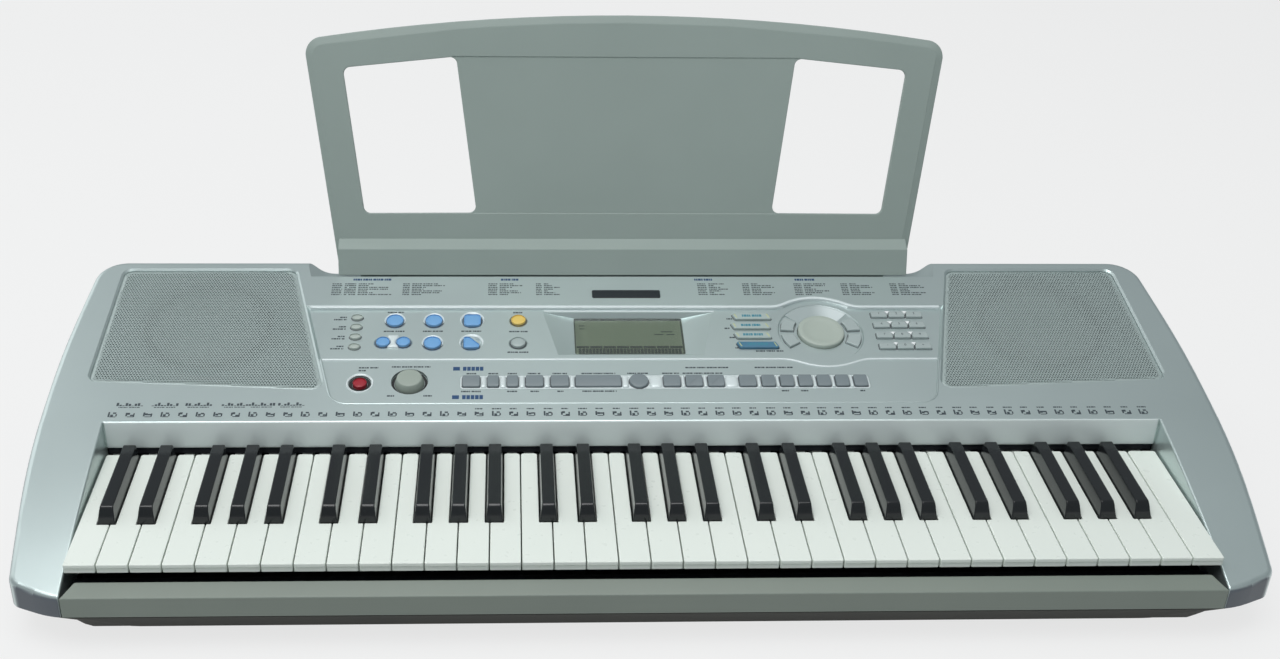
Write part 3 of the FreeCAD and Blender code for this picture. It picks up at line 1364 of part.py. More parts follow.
def speaker_cones():
    top = -GRILLE_POCKET - BAFFLE_WALL
    rim = SPEAKER_RADIUS - BASKET_WALL - FIT_GAP
    neck = DUST_CAP_RADIUS
    low = top - CONE_DEPTH
    edge = rim - SURROUND_WIDTH
    points = [
        (rim, top),
        (rim, top - CONE_WALL),
        (edge, top - CONE_WALL),
        (neck, low - CONE_WALL),
        (0, low - CONE_WALL),
        (0, low + DUST_CAP_HEIGHT),
        (DUST_CAP_BEND_RADIUS, low + DUST_CAP_BEND_HEIGHT),
        (neck, low),
        (edge, top),
        (edge + SURROUND_WIDTH / 2, top + SURROUND_RISE),
    ]
    return Part.makeCompound([spun(points, speaker_x(side), SPEAKER_ALONG) for side in (-1, 1)])


# Music rest


def rest_side(height):
    """Half width of the rest at a height above its foot."""
    return REST_FOOT_HALF + REST_FLARE * height / REST_CORNER_HEIGHT


def rest_plate():
    left_foot = Vector(-REST_FOOT_HALF, 0, 0)
    right_foot = Vector(REST_FOOT_HALF, 0, 0)
    corner_half = rest_side(REST_CORNER_HEIGHT)
    right_corner = Vector(corner_half, 0, REST_CORNER_HEIGHT)
    left_corner = Vector(-corner_half, 0, REST_CORNER_HEIGHT)
    edges = [
        Part.LineSegment(left_foot, right_foot).toShape(),
        Part.LineSegment(right_foot, right_corner).toShape(),
        Part.Arc(right_corner, Vector(0, 0, REST_HEIGHT), left_corner).toShape(),
        Part.LineSegment(left_corner, left_foot).toShape(),
    ]
    plate = Part.Face(Part.Wire(edges)).extrude(Vector(0, REST_THICK, 0))
    across = [edge for edge in plate.Edges if edge.BoundBox.YLength > REST_THICK / 2]
    plate = plate.makeFillet(REST_CORNER, [edge for edge in across if edge.BoundBox.ZMin > REST_CORNER])
    rim = [edge for edge in plate.Edges if edge.BoundBox.YMax < HAIR and edge.BoundBox.ZMax > HAIR]
    return plate.makeChamfer(REST_BEVEL_DEPTH, REST_BEVEL, rim)


def rest_panel(points):
    """Shallow pocket between the two windows, from their lower corners to their upper ones."""
    low, high = points[0], points[3]
    low_half = low[0] + REST_PANEL_OVERLAP
    high_half = high[0] + REST_PANEL_OVERLAP
    area = [(-low_half, low[1]), (low_half, low[1]), (high_half, high[1]), (-high_half, high[1])]
    outline = raised(rounded(area, 0), -REST_PANEL_SINK, OVERCUT)
    outline.rotate(Vector(0, 0, 0), Vector(1, 0, 0), 90)
    return outline


def rest_window(points):
    outline = raised(rounded(points, REST_WINDOW_ROUND), -OVERCUT, REST_THICK + OVERCUT)
    outline.rotate(Vector(0, 0, 0), Vector(1, 0, 0), 90)
    outline.translate(Vector(0, REST_THICK, 0))
    return outline


def music_rest():
    corners = [(rest_side(height) - inward, height) for inward, height in REST_WINDOW_CORNERS]
    right = counter_clockwise(corners)
    windows = [rest_window(right), rest_window(mirrored(right))]
    tongue = block(-TONGUE_HALF, TONGUE_HALF, 0, REST_THICK, -TONGUE_LENGTH, OVERCUT)
    points = [
        (REST_THICK, LEDGE_BOTTOM),
        (-LEDGE_REACH, LEDGE_BOTTOM),
        (-LEDGE_REACH, LEDGE_FRONT),
        (0, LEDGE_TOP),
        (REST_THICK, LEDGE_TOP),
    ]
    ledge = side_prism(points, -REST_FOOT_HALF, REST_FOOT_HALF)
    plate = rest_plate().cut(windows + [rest_panel(corners)])
    return on_rest(joined(plate, [tongue, ledge]))


# Batteries, main board and rear sockets


def battery_box():
    low = pad_top()
    high = low + BATTERY_HEIGHT
    shell = battery_mouth(BATTERY_WALL, low, high + BATTERY_WALL)
    return shell.cut(battery_mouth(0, low - OVERCUT, high))


def battery_contacts():
    low = pad_top() + BATTERY_HEIGHT / 2 - CONTACT_SIZE / 2
    plates = []
    for end in (-1, 1):
        face = BATTERY_X + end * BATTERY_LENGTH / 2
        x0, x1 = sorted((face, face - end * CONTACT_PLATE))
        for row in (-1, 1):
            middle = BATTERY_Y + row * BATTERY_WIDTH / 4
            half = CONTACT_SIZE / 2
            plates.append(block(x0, x1, middle - half, middle + half, low, low + CONTACT_SIZE))
    return Part.makeCompound(plates)


def battery_cover():
    x0, x1 = cover_ends()
    return cover_section(0, x0, x1)


def main_board():
    low = FLOOR_TOP + MAIN_BOARD_LIFT
    outline = rectangle(MAIN_BOARD_X, BATTERY_Y, *MAIN_BOARD_SIZE)
    board = raised(rounded(outline, BUTTON_CORNER), low, low + BOARD_THICK)
    chips = []
    for i in (-1, 0, 1):
        x = MAIN_BOARD_X + i * 2 * CHIP_SIZE
        chip = rectangle(x, BATTERY_Y, CHIP_SIZE, CHIP_SIZE)
        chips.append(raised(rounded(chip, 0), low, low + BOARD_THICK + CHIP_HEIGHT))
    return joined(board, chips)


def socket_plate_blank(grow, behind):
    half = SOCKET_PLATE_LENGTH / 2 + grow
    high = PART_LINE + SOCKET_PLATE_HEIGHT + grow
    low = PART_LINE - grow
    inside = REAR_Y - SOCKET_PLATE_THICK - grow
    return block(SOCKET_X - half, SOCKET_X + half, inside, REAR_Y + behind, low, high)


def socket_height():
    return PART_LINE + SOCKET_LIFT


def socket_holes():
    noses = [(offset, JACK_NOSE) for offset in JACK_OFFSETS]
    noses += [(offset, MIDI_NOSE) for offset in MIDI_OFFSETS]
    return noses + [(INLET_OFFSET, INLET_NOSE)]


def socket_plate():
    holes = []
    for offset, radius in socket_holes():
        front = REAR_Y - SOCKET_PLATE_THICK - OVERCUT
        holes.append(rod_y(SOCKET_X + offset, front, REAR_Y + OVERCUT, socket_height(), radius + SEAT_GAP))
    return socket_plate_blank(0, 0).cut(holes)


def socket(offset, nose, body, length):
    """Square housing against the inside of the plate, with a round nose through it."""
    x = SOCKET_X + offset
    z = socket_height()
    inside = REAR_Y - SOCKET_PLATE_THICK
    half = body / 2
    housing = block(x - half, x + half, inside - length, inside, z - half, z + half)
    return joined(housing, [rod_y(x, inside - length, REAR_Y, z, nose)])


def audio_jacks():
    jacks = []
    for offset in JACK_OFFSETS:
        jack = socket(offset, JACK_NOSE, JACK_BODY, JACK_LENGTH)
        front = REAR_Y - SOCKET_PLATE_THICK - JACK_LENGTH - OVERCUT
        bore = rod_y(SOCKET_X + offset, front, REAR_Y + OVERCUT, socket_height(), JACK_BORE)
        jacks.append(jack.cut(bore))
    return Part.makeCompound(jacks)


def midi_sockets():
    sockets = []
    for offset in MIDI_OFFSETS:
        din = socket(offset, MIDI_NOSE, MIDI_BODY, MIDI_LENGTH)
        floor = REAR_Y - MIDI_BORE_DEPTH
        bore = rod_y(SOCKET_X + offset, floor, REAR_Y + OVERCUT, socket_height(), MIDI_BORE)
        sockets.append(din.cut(bore))
    return Part.makeCompound(sockets)


def dc_inlet():
    inlet = socket(INLET_OFFSET, INLET_NOSE, INLET_BODY, INLET_LENGTH)
    x = SOCKET_X + INLET_OFFSET
    floor = REAR_Y - INLET_DEPTH
    inlet = inlet.cut(rod_y(x, floor, REAR_Y + OVERCUT, socket_height(), INLET_BORE))
    pin = rod_y(x, floor - SEAT_GAP, REAR_Y - INLET_PIN_SINK, socket_height(), INLET_PIN)
    return joined(inlet, [pin])


def all_pieces():
    pieces = {
        "top_case": top_case(),
        "bottom_case": bottom_case(),
        "key_slip": key_slip(),
        "rubber_feet": rubber_feet(),
        "case_screws": case_screws(),
        "key_bed": key_bed(),
        "hinge_rod": hinge_rod(),
        "key_stop_felt": key_stop_felt(),
        "key_contact_board": key_contact_board(),
        "key_contact_rubber": key_contact_rubber(),
        "button_strip": button_strip(),
        "badge_plate": badge_plate(),
        "display_window": display_window(),
        "display_module": display_module(),
        "panel_board": panel_board(),
        "rotary_sensors": rotary_sensors(),
        "data_dial": data_dial(),
        "volume_knob": volume_knob(),
        "left_grille": speaker_grille(-1),
        "right_grille": speaker_grille(1),
        "speaker_frames": speaker_frames(),
        "speaker_cones": speaker_cones(),
        "music_rest": music_rest(),
        "battery_box": battery_box(),
        "battery_contacts": battery_contacts(),
        "battery_cover": battery_cover(),
        "main_board": main_board(),
        "socket_plate": socket_plate(),
        "audio_jacks": audio_jacks(),
        "midi_sockets": midi_sockets(),
        "dc_inlet": dc_inlet(),
    }
    pieces.update(key_groups())
    pieces.update(button_groups())
    return pieces


os.makedirs("parts", exist_ok=True)
for name, shape in all_pieces().items():
    placed = shape.copy()
    placed.translate(Vector(0, -MIDDLE_Y, 0))
    placed.exportStep(f"parts/{name}.step")
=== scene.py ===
import json
import math
import bmesh
import bpy
from mathutils import Matrix, Vector, geometry

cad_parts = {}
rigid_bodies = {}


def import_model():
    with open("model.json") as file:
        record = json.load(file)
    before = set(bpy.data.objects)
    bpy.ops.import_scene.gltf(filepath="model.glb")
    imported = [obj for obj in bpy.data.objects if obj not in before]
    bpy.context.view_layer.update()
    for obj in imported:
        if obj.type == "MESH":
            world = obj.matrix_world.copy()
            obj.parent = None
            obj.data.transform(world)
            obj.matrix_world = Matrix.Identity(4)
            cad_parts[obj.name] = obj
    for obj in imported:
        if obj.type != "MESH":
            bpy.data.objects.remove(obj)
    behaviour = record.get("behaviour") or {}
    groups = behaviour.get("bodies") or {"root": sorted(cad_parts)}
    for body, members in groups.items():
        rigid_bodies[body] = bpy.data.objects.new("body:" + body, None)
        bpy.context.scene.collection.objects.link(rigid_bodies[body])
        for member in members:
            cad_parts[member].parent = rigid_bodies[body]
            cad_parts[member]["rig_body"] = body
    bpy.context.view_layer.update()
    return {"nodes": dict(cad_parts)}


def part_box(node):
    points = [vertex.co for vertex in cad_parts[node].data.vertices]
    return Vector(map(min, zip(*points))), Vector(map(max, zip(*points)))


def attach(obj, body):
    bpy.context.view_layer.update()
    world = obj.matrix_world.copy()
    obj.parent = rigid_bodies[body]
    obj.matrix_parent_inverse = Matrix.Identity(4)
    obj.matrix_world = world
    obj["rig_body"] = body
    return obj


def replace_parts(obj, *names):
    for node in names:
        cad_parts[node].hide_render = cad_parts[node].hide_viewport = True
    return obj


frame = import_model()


# Lower case: the pan that carries every other piece and stands on six feet.
# Injection-moulded ABS, grey right through. The mould was spark-eroded, so the face is matt
# with a fine even grit, and its colour drifts a little where the melt ran thin.

MM = 0.001
HAND_WIDTH = 90.0
SHINE_SPREAD = 0.07
BUMP_STRENGTH = 0.5
PAN_SHADES = ("#3B3C38", "#444541")
PAN_SPECULAR = 0.2


def linear(shade):
    """Linear colour with full cover, from an sRGB hex value."""
    parts = [int(shade[start:start + 2], 16) / 255 for start in (1, 3, 5)]
    return [p / 12.92 if p <= 0.04045 else ((p + 0.055) / 1.055) ** 2.4 for p in parts] + [1.0]


def add_node(material, kind, settings, inputs):
    """Adds a shader node with its settings. Its inputs are plain values, or sockets to link."""
    node = material.node_tree.nodes.new("ShaderNode" + kind)
    for name, value in settings.items():
        setattr(node, name, value)
    for name, value in inputs.items():
        if isinstance(value, bpy.types.NodeSocket):
            material.node_tree.links.new(value, node.inputs[name])
        else:
            node.inputs[name].default_value = value
    return node


def empty_material(name):
    """Material with no nodes yet."""
    material = bpy.data.materials.new(name)
    material.use_nodes = True
    material.node_tree.nodes.clear()
    return material


def moulded(name, shades, roughness, grit, relief, metallic=0.0):
    """Plastic from a textured mould: grit of one size, and a tone that drifts over a hand's width."""
    material = empty_material(name)
    place = add_node(material, "TexCoord", {}, {}).outputs["Object"]
    grain = add_node(material, "TexNoise", {}, {"Vector": place, "Scale": 1 / (grit * MM)})
    drift = add_node(material, "TexNoise", {}, {"Vector": place, "Scale": 1 / (HAND_WIDTH * MM)})
    tone = add_node(
        material,
        "Mix",
        {"data_type": "RGBA"},
        {0: drift.outputs[0], 6: linear(shades[0]), 7: linear(shades[1])},
    )
    smooth, rough = roughness - SHINE_SPREAD, roughness + SHINE_SPREAD
    shine = add_node(
        material,
        "MapRange",
        {},
        {"Value": grain.outputs[0], "To Min": smooth, "To Max": rough},
    )
    bump = add_node(
        material,
        "Bump",
        {},
        {"Height": grain.outputs[0], "Strength": BUMP_STRENGTH, "Distance": relief * MM},
    )
    surface = add_node(
        material,
        "BsdfPrincipled",
        {},
        {
            "Base Color": tone.outputs[2],
            "Roughness": shine.outputs[0],
            "Normal": bump.outputs[0],
            "Metallic": metallic,
        },
    )
    add_node(material, "OutputMaterial", {}, {"Surface": surface.outputs[0]})
    return material


def dress(node, material):
    """Gives a solid that is shown as it is its finish."""
    piece = frame["nodes"][node]
    if not piece.material_slots:
        piece.data.materials.append(material)
    for slot in piece.material_slots:
        slot.material = material


# The grit is about 0.3 mm on the real face, and is drawn at 0.8 mm so that it shows.
pan_abs = moulded("spark_eroded_grey_abs", PAN_SHADES, 0.75, 0.8, 0.03)
pan_abs.node_tree.nodes["Principled BSDF"].inputs["Specular IOR Level"].default_value = PAN_SPECULAR
dress("bottom_case", pan_abs)


# Rubber feet: six soft pads glued under the pan.
# Pressed black rubber, dull and slightly dusty.

foot_rubber = moulded("pressed_black_rubber", ("#1D1E1F", "#2A2B2B"), 0.8, 1.2, 0.05)
dress("rubber_feet", foot_rubber)


# Battery box, its contacts and its cover: six cells lie in the box behind a cover that slides aside.
# The box is plain ABS, the contacts are nickel-plated spring strip, and the cover matches the pan.
# Finger ridges on the cover show where to push.

RIDGE_COUNT = 7
RIDGE_PITCH = 3.2
RIDGE_SIZE = (1.4, 34.0, 0.7)
RIDGE_EDGE = 0.3
RIDGE_EDGE_GAP = 16.0
SMOOTH_UP_TO = math.radians(38)


def new_piece(name, work, material, body):
    """Makes a piece from mesh work in progress, shaded smooth up to its sharp edges."""
    mesh = bpy.data.meshes.new(name)
    work.to_mesh(mesh)
    work.free()
    if "custom_normal" in mesh.attributes:
        mesh.attributes.remove(mesh.attributes["custom_normal"])
    mesh.materials.clear()
    mesh.materials.append(material)
    mesh.shade_smooth()
    mesh.set_sharp_from_angle(angle=SMOOTH_UP_TO)
    piece = bpy.data.objects.new(name, mesh)
    bpy.context.scene.collection.objects.link(piece)
    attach(piece, body)
    return piece


black_abs_and_painted_shade = moulded("natural_black_abs_and_painted_shade", ("#1B1C1D", "#232425"), 0.55, 0.9, 0.02)
spring_nickel = moulded("nickel_plated_spring_strip", ("#B9B5AA", "#C6C2B8"), 0.28, 2.5, 0.004, 1.0)
dress("battery_box", black_abs_and_painted_shade)
dress("battery_contacts", spring_nickel)
dress("battery_cover", pan_abs)

cover_low, cover_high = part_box("battery_cover")
ridges = bmesh.new()
for index in range(RIDGE_COUNT):
    ridge = bmesh.ops.create_cube(ridges, size=1.0)["verts"]
    x = cover_high[0] - (RIDGE_EDGE_GAP + index * RIDGE_PITCH) * MM
    y = (cover_low[1] + cover_high[1]) / 2
    bmesh.ops.scale(ridges, verts=ridge, vec=[size * MM for size in RIDGE_SIZE])
    bmesh.ops.translate(ridges, verts=ridge, vec=(x, y, cover_low[2]))
edges = ridges.edges[:]
bmesh.ops.bevel(ridges, geom=edges, offset=RIDGE_EDGE * MM, segments=2, profile=0.5, affect="EDGES")
new_piece("cover_ridges", ridges, pan_abs, "battery_cover")


# Main board: carries the tone generator, the amplifier and the sockets' wiring.
# Glass-epoxy board under green solder resist, smooth and a little uneven over the copper.

board_epoxy = moulded("green_resist_on_epoxy_board", ("#1E4A35", "#2B6046"), 0.35, 4.0, 0.02)
dress("main_board", board_epoxy)


# Rear sockets: two jacks, two round data sockets and the power inlet, on a plate set into the back.
# The plate is matt black ABS and the sockets are glass-filled nylon, which dries slightly mottled.

socket_nylon = moulded("glass_filled_black_nylon", ("#141516", "#26282A"), 0.5, 0.5, 0.02)
dress("socket_plate", black_abs_and_painted_shade)
for node in ("audio_jacks", "midi_sockets", "dc_inlet"):
    dress(node, socket_nylon)


# Key bed: the frame that the keys hinge on, with a steel rod through every key.
# Black ABS frame, bright drawn rod, a pressed navy felt that stops the keys, and the board with the
# silicone domes that sense them.

rod_steel = moulded("bright_drawn_steel", ("#A7A9AA", "#BBBDBD"), 0.25, 1.5, 0.003, 1.0)
stop_felt = moulded("pressed_navy_felt_and_painted_shade", ("#14171E", "#1D212A"), 0.95, 0.7, 0.25)
silicone_and_painted_shade = moulded("grey_silicone_rubber_and_painted_shade", ("#53565A", "#63666A"), 0.6, 1.4, 0.02)
dress("key_bed", black_abs_and_painted_shade)
dress("hinge_rod", rod_steel)
dress("key_stop_felt", stop_felt)
dress("key_contact_board", board_epoxy)
dress("key_contact_rubber", silicone_and_painted_shade)


# White keys: 36 hollow mouldings, open below, each with an arm to the rod.
# Ivory-white styrene from a polished mould, with edges rounded for the fingers. Handling leaves
# the gloss a little uneven, so the shine varies more than the colour.

KEY_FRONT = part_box("top_c_key")[0][1] / MM
WHITE_SHADES = ("#E4EBE4", "#EBF1EA")
WHITE_EDGE = 0.7
LIP_DEPTH = 3.2
LIP_SLOPE = 0.35
LIP_STEP = 0.5
FACE_REACH = 0.4
LEVEL_WITHIN = 0.05
TOP_WITHIN = 0.1
JOIN_WITHIN = 0.002
FLAT_WITHIN = math.radians(0.6)
OCTAVES = range(1, 6)


def copied(node):
    """Mesh work that starts from a solid, with its doubled points joined."""
    work = bmesh.new()
    work.from_mesh(frame["nodes"][node].data)
    bmesh.ops.remove_doubles(work, verts=work.verts, dist=JOIN_WITHIN * MM)
    return work


def flatten(work):
    """Joins faces that lie in one plane."""
    bmesh.ops.dissolve_limit(work, angle_limit=FLAT_WITHIN, verts=work.verts, edges=work.edges)


def stand_in(node, ending, work, material):
    """Piece on a solid's body, which stands for that solid."""
    piece = new_piece(node + ending, work, material, frame["nodes"][node]["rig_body"])
    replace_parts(piece, node)
    return piece


def round_off(work, rim, edge):
    """Rounds some edges."""
    bmesh.ops.bevel(
        work,
        geom=rim,
        offset=edge * MM,
        offset_type="OFFSET",
        segments=3,
        profile=0.5,
        affect="EDGES",
    )


def eased(node, material, edge, above=None, sharp=30.0, lip=None):
    """Copy of a solid with its outer sharp edges rounded, which stands for the solid.

    Where above is given, only edges that reach over that height are rounded. Where lip is given,
    the front face steps back below those heights."""
    work = copied(node)
    flatten(work)
    for height in lip or ():
        whole = work.verts[:] + work.edges[:] + work.faces[:]
        bmesh.ops.bisect_plane(work, geom=whole, plane_co=(0, 0, height), plane_no=(0, 0, 1))
    for point in work.verts:
        front = point.co.y < (KEY_FRONT + FACE_REACH) * MM
        if lip and front and point.co.z < lip[1] + LEVEL_WITHIN * MM:
            point.co.y += LIP_STEP * MM
    rim = []
    for line in work.edges:
        if not line.is_manifold or not line.is_convex or line.calc_face_angle() < math.radians(sharp):
            continue
        if above is None or max(end.co.z for end in line.verts) > above:
            rim.append(line)
    round_off(work, rim, edge)
    piece = stand_in(node, "_eased", work, material)
    flats = piece.modifiers.new("flat_faces", "WEIGHTED_NORMAL")
    flats.keep_sharp = True
    return piece


key_styrene = moulded("polished_ivory_styrene", WHITE_SHADES, 0.3, 6.0, 0.004)
white_nodes = []
for octave in OCTAVES:
    white_nodes += [f"octave_{octave}_white_c_e_g_b", f"octave_{octave}_white_d_f_a"]
for node in white_nodes + ["top_c_key"]:
    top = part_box(node)[1][2]
    under_lip = (top - LIP_DEPTH * MM, top - (LIP_DEPTH + LIP_SLOPE) * MM)
    eased(node, key_styrene, WHITE_EDGE, above=top - TOP_WITHIN * MM, lip=under_lip)


# Black keys: 25 mouldings that stand above the white ones, with sloping sides and a two-step nose.
# Black ABS with a satin face, which picks up a sheen along its rounded edges.

BLACK_SHADES = ("#191B1D", "#212426")
BLACK_EDGE = 0.9
BLACK_FOOT = 1.0

key_abs = moulded("satin_black_abs", BLACK_SHADES, 0.17, 0.9, 0.003)
white_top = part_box("top_c_key")[1][2]
over_white = white_top + BLACK_FOOT * MM
for octave in OCTAVES:
    eased(f"octave_{octave}_black_keys", key_abs, BLACK_EDGE, above=over_white)


# Key slip: the strip that closes the front below the keys.
# Olive-grey ABS, moulded in one length, with a ridge between its sloping top and its upright face.

slip_abs = moulded("spark_eroded_olive_abs", ("#7E877F", "#889188"), 0.42, 0.8, 0.012)
eased("key_slip", slip_abs, 0.9, sharp=15.0)

# The pan's front corners, filled out under the ends of the slip: out from the middle, behind the
# keys' front, and height.
PAN_CORNER = (
    (372.0, 4.3, 5.2), (409.0, 4.3, 5.2), (416.0, 7.0, 5.2), (420.5, 13.0, 5.2),
    (421.0, 25.0, 5.2), (372.0, 25.0, 5.2), (372.0, -15.6, 29.8), (412.0, -15.6, 29.8),
    (418.5, -13.5, 29.8), (421.5, -8.0, 29.8), (421.5, 25.0, 29.8), (372.0, 25.0, 29.8),
)


def behind_keys(x, behind, z):
    """Place in the frame, from millimetres across, behind the keys' front and up."""
    return Vector((x, KEY_FRONT + behind, z)) * MM


def closed_piece(name, work, material, body):
    """Makes a piece from closed mesh work, with all its faces turned outward."""
    bmesh.ops.recalc_face_normals(work, faces=work.faces)
    return new_piece(name, work, material, body)


corners = bmesh.new()
for side in (-1, 1):
    points = [corners.verts.new(behind_keys(side * x, behind, z)) for x, behind, z in PAN_CORNER]
    bmesh.ops.convex_hull(corners, input=points)
closed_piece("pan_corners", corners, pan_abs, frame["nodes"]["bottom_case"]["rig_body"])


# Upper case: cheeks, fallboard and the control panel with its steps, in one large moulding.
# Grey ABS, sprayed with silver flake lacquer, which shines like satin metal. The upright flanks and noses
# are drawn dark matt grey, the more so the further they turn outward or forward: painted shade on the
# upright sides.

SILVER_SHADES = ("#C3D0CF", "#CDDAD9")
SILVER_METAL = 0.75
FLANK_PAINTED_SHADE = "#5A6169"
FLANK_OUTSIDE = 0.424
NOSE_TOP = 0.085
SHADE_FROM = 0.72
SHADE_TO = 0.92

silver_abs = moulded("silver_flake_lacquer_with_painted_flank_shade", SILVER_SHADES, 0.36, 0.7, 0.01, SILVER_METAL)
coordinates = add_node(silver_abs, "TexCoord", {}, {}).outputs
spot = add_node(silver_abs, "SeparateXYZ", {}, {0: coordinates["Object"]}).outputs
facing = add_node(silver_abs, "SeparateXYZ", {}, {0: coordinates["Normal"]}).outputs
masks = {"x": spot[0], "height": spot[2], "turned_aside": facing[0], "turned_back": facing[1]}
# Painted shade: these steps mark outer faces that turn aside, and low faces that turn forward.
MASK_STEPS = (
    ("side", "SIGN", "x", 0.0),
    ("outward", "MULTIPLY", "turned_aside", "side"),
    ("low", "LESS_THAN", "height", NOSE_TOP),
    ("low_back", "MULTIPLY", "turned_back", "low"),
    ("low_front", "MULTIPLY", "low_back", -1.0),
    ("upright", "MAXIMUM", "outward", "low_front"),
    ("across", "ABSOLUTE", "x", 0.0),
    ("outer", "GREATER_THAN", "across", FLANK_OUTSIDE),
)
for name, operation, first, second in MASK_STEPS:
    inputs = {0: masks[first], 1: masks.get(second, second)}
    masks[name] = add_node(silver_abs, "Math", {"operation": operation}, inputs).outputs[0]
upright_shade = add_node(
    silver_abs,
    "MapRange",
    {"interpolation_type": "SMOOTHSTEP"},
    {"Value": masks["upright"], "From Min": SHADE_FROM, "From Max": SHADE_TO},
).outputs[0]
flank_shade_share = add_node(
    silver_abs, "Math", {"operation": "MULTIPLY"}, {0: upright_shade, 1: masks["outer"]}
).outputs[0]
lacquer = silver_abs.node_tree.nodes["Principled BSDF"].inputs
flank_painted_tone = add_node(
    silver_abs,
    "Mix",
    {"data_type": "RGBA"},
    {0: flank_shade_share, 6: lacquer["Base Color"].links[0].from_socket, 7: linear(FLANK_PAINTED_SHADE)},
)
flank_metal = add_node(
    silver_abs, "MapRange", {}, {"Value": flank_shade_share, "To Min": SILVER_METAL, "To Max": 0.0}
)
silver_abs.node_tree.links.new(flank_painted_tone.outputs[2], lacquer["Base Color"])
silver_abs.node_tree.links.new(flank_metal.outputs[0], lacquer["Metallic"])
dress("top_case", silver_abs)


# Fallboard facing and felt strip: the facing covers the upright behind the keys, with a felt strip behind
# it.
# The facing is ABS with a silver lacquer, rolled under at its foot. It is drawn paler than the case's
# silver, painted light for the light this upright face catches. The felt is a glued dark strip that closes
# the gap behind the keys down to their arms, painted shade for the dark gap there.

STRIP_HALF = 422.6
FACING_OUTLINE = (
    (147.2, 67.3), (146.7, 67.2), (146.3, 67.4), (146.1, 67.9), (146.1, 69.0),
    (146.3, 90.2), (146.5, 90.7), (147.2, 90.9),
)
FACING_LIT_SHADES = ("#D9E3E2", "#E1EBEA")
SHADE_STRIP_OUTLINE = ((149.3, 67.6), (149.3, 60.8), (149.0, 60.3), (148.4, 60.3), (148.1, 60.8), (148.1, 67.6))


def skin(work, rings, around=False):
    """Faces between rings of points, closed at both ends or joined round to the first ring."""
    pairs = list(zip(rings, rings[1:]))
    if around:
        pairs.append((rings[-1], rings[0]))
    for ring, following in pairs:
        for step in range(len(ring)):
            after = (step + 1) % len(ring)
            work.faces.new((ring[step], ring[after], following[after], following[step]))
    if not around:
        work.faces.new(rings[0][::-1])
        work.faces.new(rings[-1])


def drawn_strip(name, outline, material):
    """Strip of one section, given by places behind the keys' front and heights, across the key field."""
    work = bmesh.new()
    ends = []
    for x in (-STRIP_HALF, STRIP_HALF):
        ends.append([work.verts.new(behind_keys(x, behind, z)) for behind, z in outline])
    skin(work, ends)
    closed_piece(name, work, material, "case")


facing_painted_light = moulded("pale_silver_lacquer_with_painted_light", FACING_LIT_SHADES, 0.4, 0.7, 0.008, 0.1)
drawn_strip("fallboard_facing", FACING_OUTLINE, facing_painted_light)
# Painted shade: a dark felt strip that fills the shadowed gap behind the keys.
drawn_strip("shadow_felt_strip", SHADE_STRIP_OUTLINE, stop_felt)


# Panel printing and trim: legends screen-printed in grey-blue and blue ink, and beads along the steps.
# The ink is thin and matt, a few hundredths of a millimetre proud, in rows of small plain blocks.
# The beads are half-round ribs, each with a skirt that runs down into the step's wall.

PANEL_SLOPE = math.radians(11.2)
PANEL = Matrix.Translation(behind_keys(0.0, 147.0, 91.0)) @ Matrix.Rotation(PANEL_SLOPE, 4, "X")
TO_PANEL = PANEL.inverted()
INK_HEIGHT = 0.05
PANEL_TOP = 0.0
BAND_FLOOR = -2.4
TRAY_FLOOR = -1.2
BLOCK_WIDTH = 1.7
BLOCK_SWING = 0.8
BLOCK_GAP = 0.4
WORD_BLOCKS = 4
WORD_GAP = 1.1


def on_panel(x, along, above):
    """Place over the sloping panel, from millimetres across, up the slope and off its face."""
    return PANEL @ (Vector((x, along, above)) * MM)


def round_place(x, along, radius, angle, above):
    """Place over the panel on a circle round a middle."""
    return on_panel(x + radius * math.cos(angle), along + radius * math.sin(angle), above)


def panel_place(point):
    """Millimetres across, up the slope and off the panel's face, of a point in the frame."""
    return (TO_PANEL @ point) / MM


def slab(work, corners, floor):
    """Flat slab of ink with these corners on the panel, which starts just under the face."""
    rings = []
    for lift in (-INK_HEIGHT, INK_HEIGHT):
        rings.append([work.verts.new(on_panel(x, along, floor + lift)) for x, along in corners])
    skin(work, rings)


def bar(work, x, along, width, depth, floor):
    """Printed bar round a place on the panel."""
    half, deep = width / 2, depth / 2
    corners = ((-half, -deep), (half, -deep), (half, deep), (-half, deep))
    slab(work, [(x + dx, along + dy) for dx, dy in corners], floor)


def words(work, x, along, width, depth, floor):
    """Printed line of short blocks, as small type looks from a distance, round a place on the panel."""
    start = x - width / 2
    end = x + width / 2
    index = 0
    while start < end - BLOCK_GAP:
        swing = BLOCK_SWING * math.cos(2.1 * index + 0.7 * along + 0.3 * x)
        block = min(BLOCK_WIDTH + swing, end - start)
        bar(work, start + block / 2, along, block, depth, floor)
        index += 1
        start += block + (BLOCK_GAP if index % WORD_BLOCKS else WORD_GAP)


# Beads, each with half a width, a rise and a skirt. The band's two beads swing round the dial.
BEAD_STEPS = 8
TURN_PARTS = 8
BAND_BEAD = (1.2, 0.9, 1.3)
BAND_BEAD_ALONG = 74.9
BAND_BEAD_END = 258.0
DIAL_SWING = 44.6
REAR_BEAD = (1.5, 0.5, 2.6)
REAR_BEAD_ALONG = 142.3
REAR_BEAD_END = 274.0
DIAL_HUMP = 44.2
DIAL_PLACE = Vector((165.0, 110.2))
SWING_SOFTNESS = 3.2
SWING_PITCH = 2.0
TRAY_BEAD = (0.8, 0.5, 0.7)
TRAY_BEAD_CORNERS = ((-259.2, 74.0), (-246.2, 20.9), (246.2, 20.9), (259.2, 74.0))
TRAY_BEAD_TURN = 14.0
FUNNEL_BEAD = (0.8, 0.5, 0.5)
FUNNEL_REAR = ((-72.5, 139.2), (-60.0, 139.1), (60.0, 138.7), (75.5, 138.6))


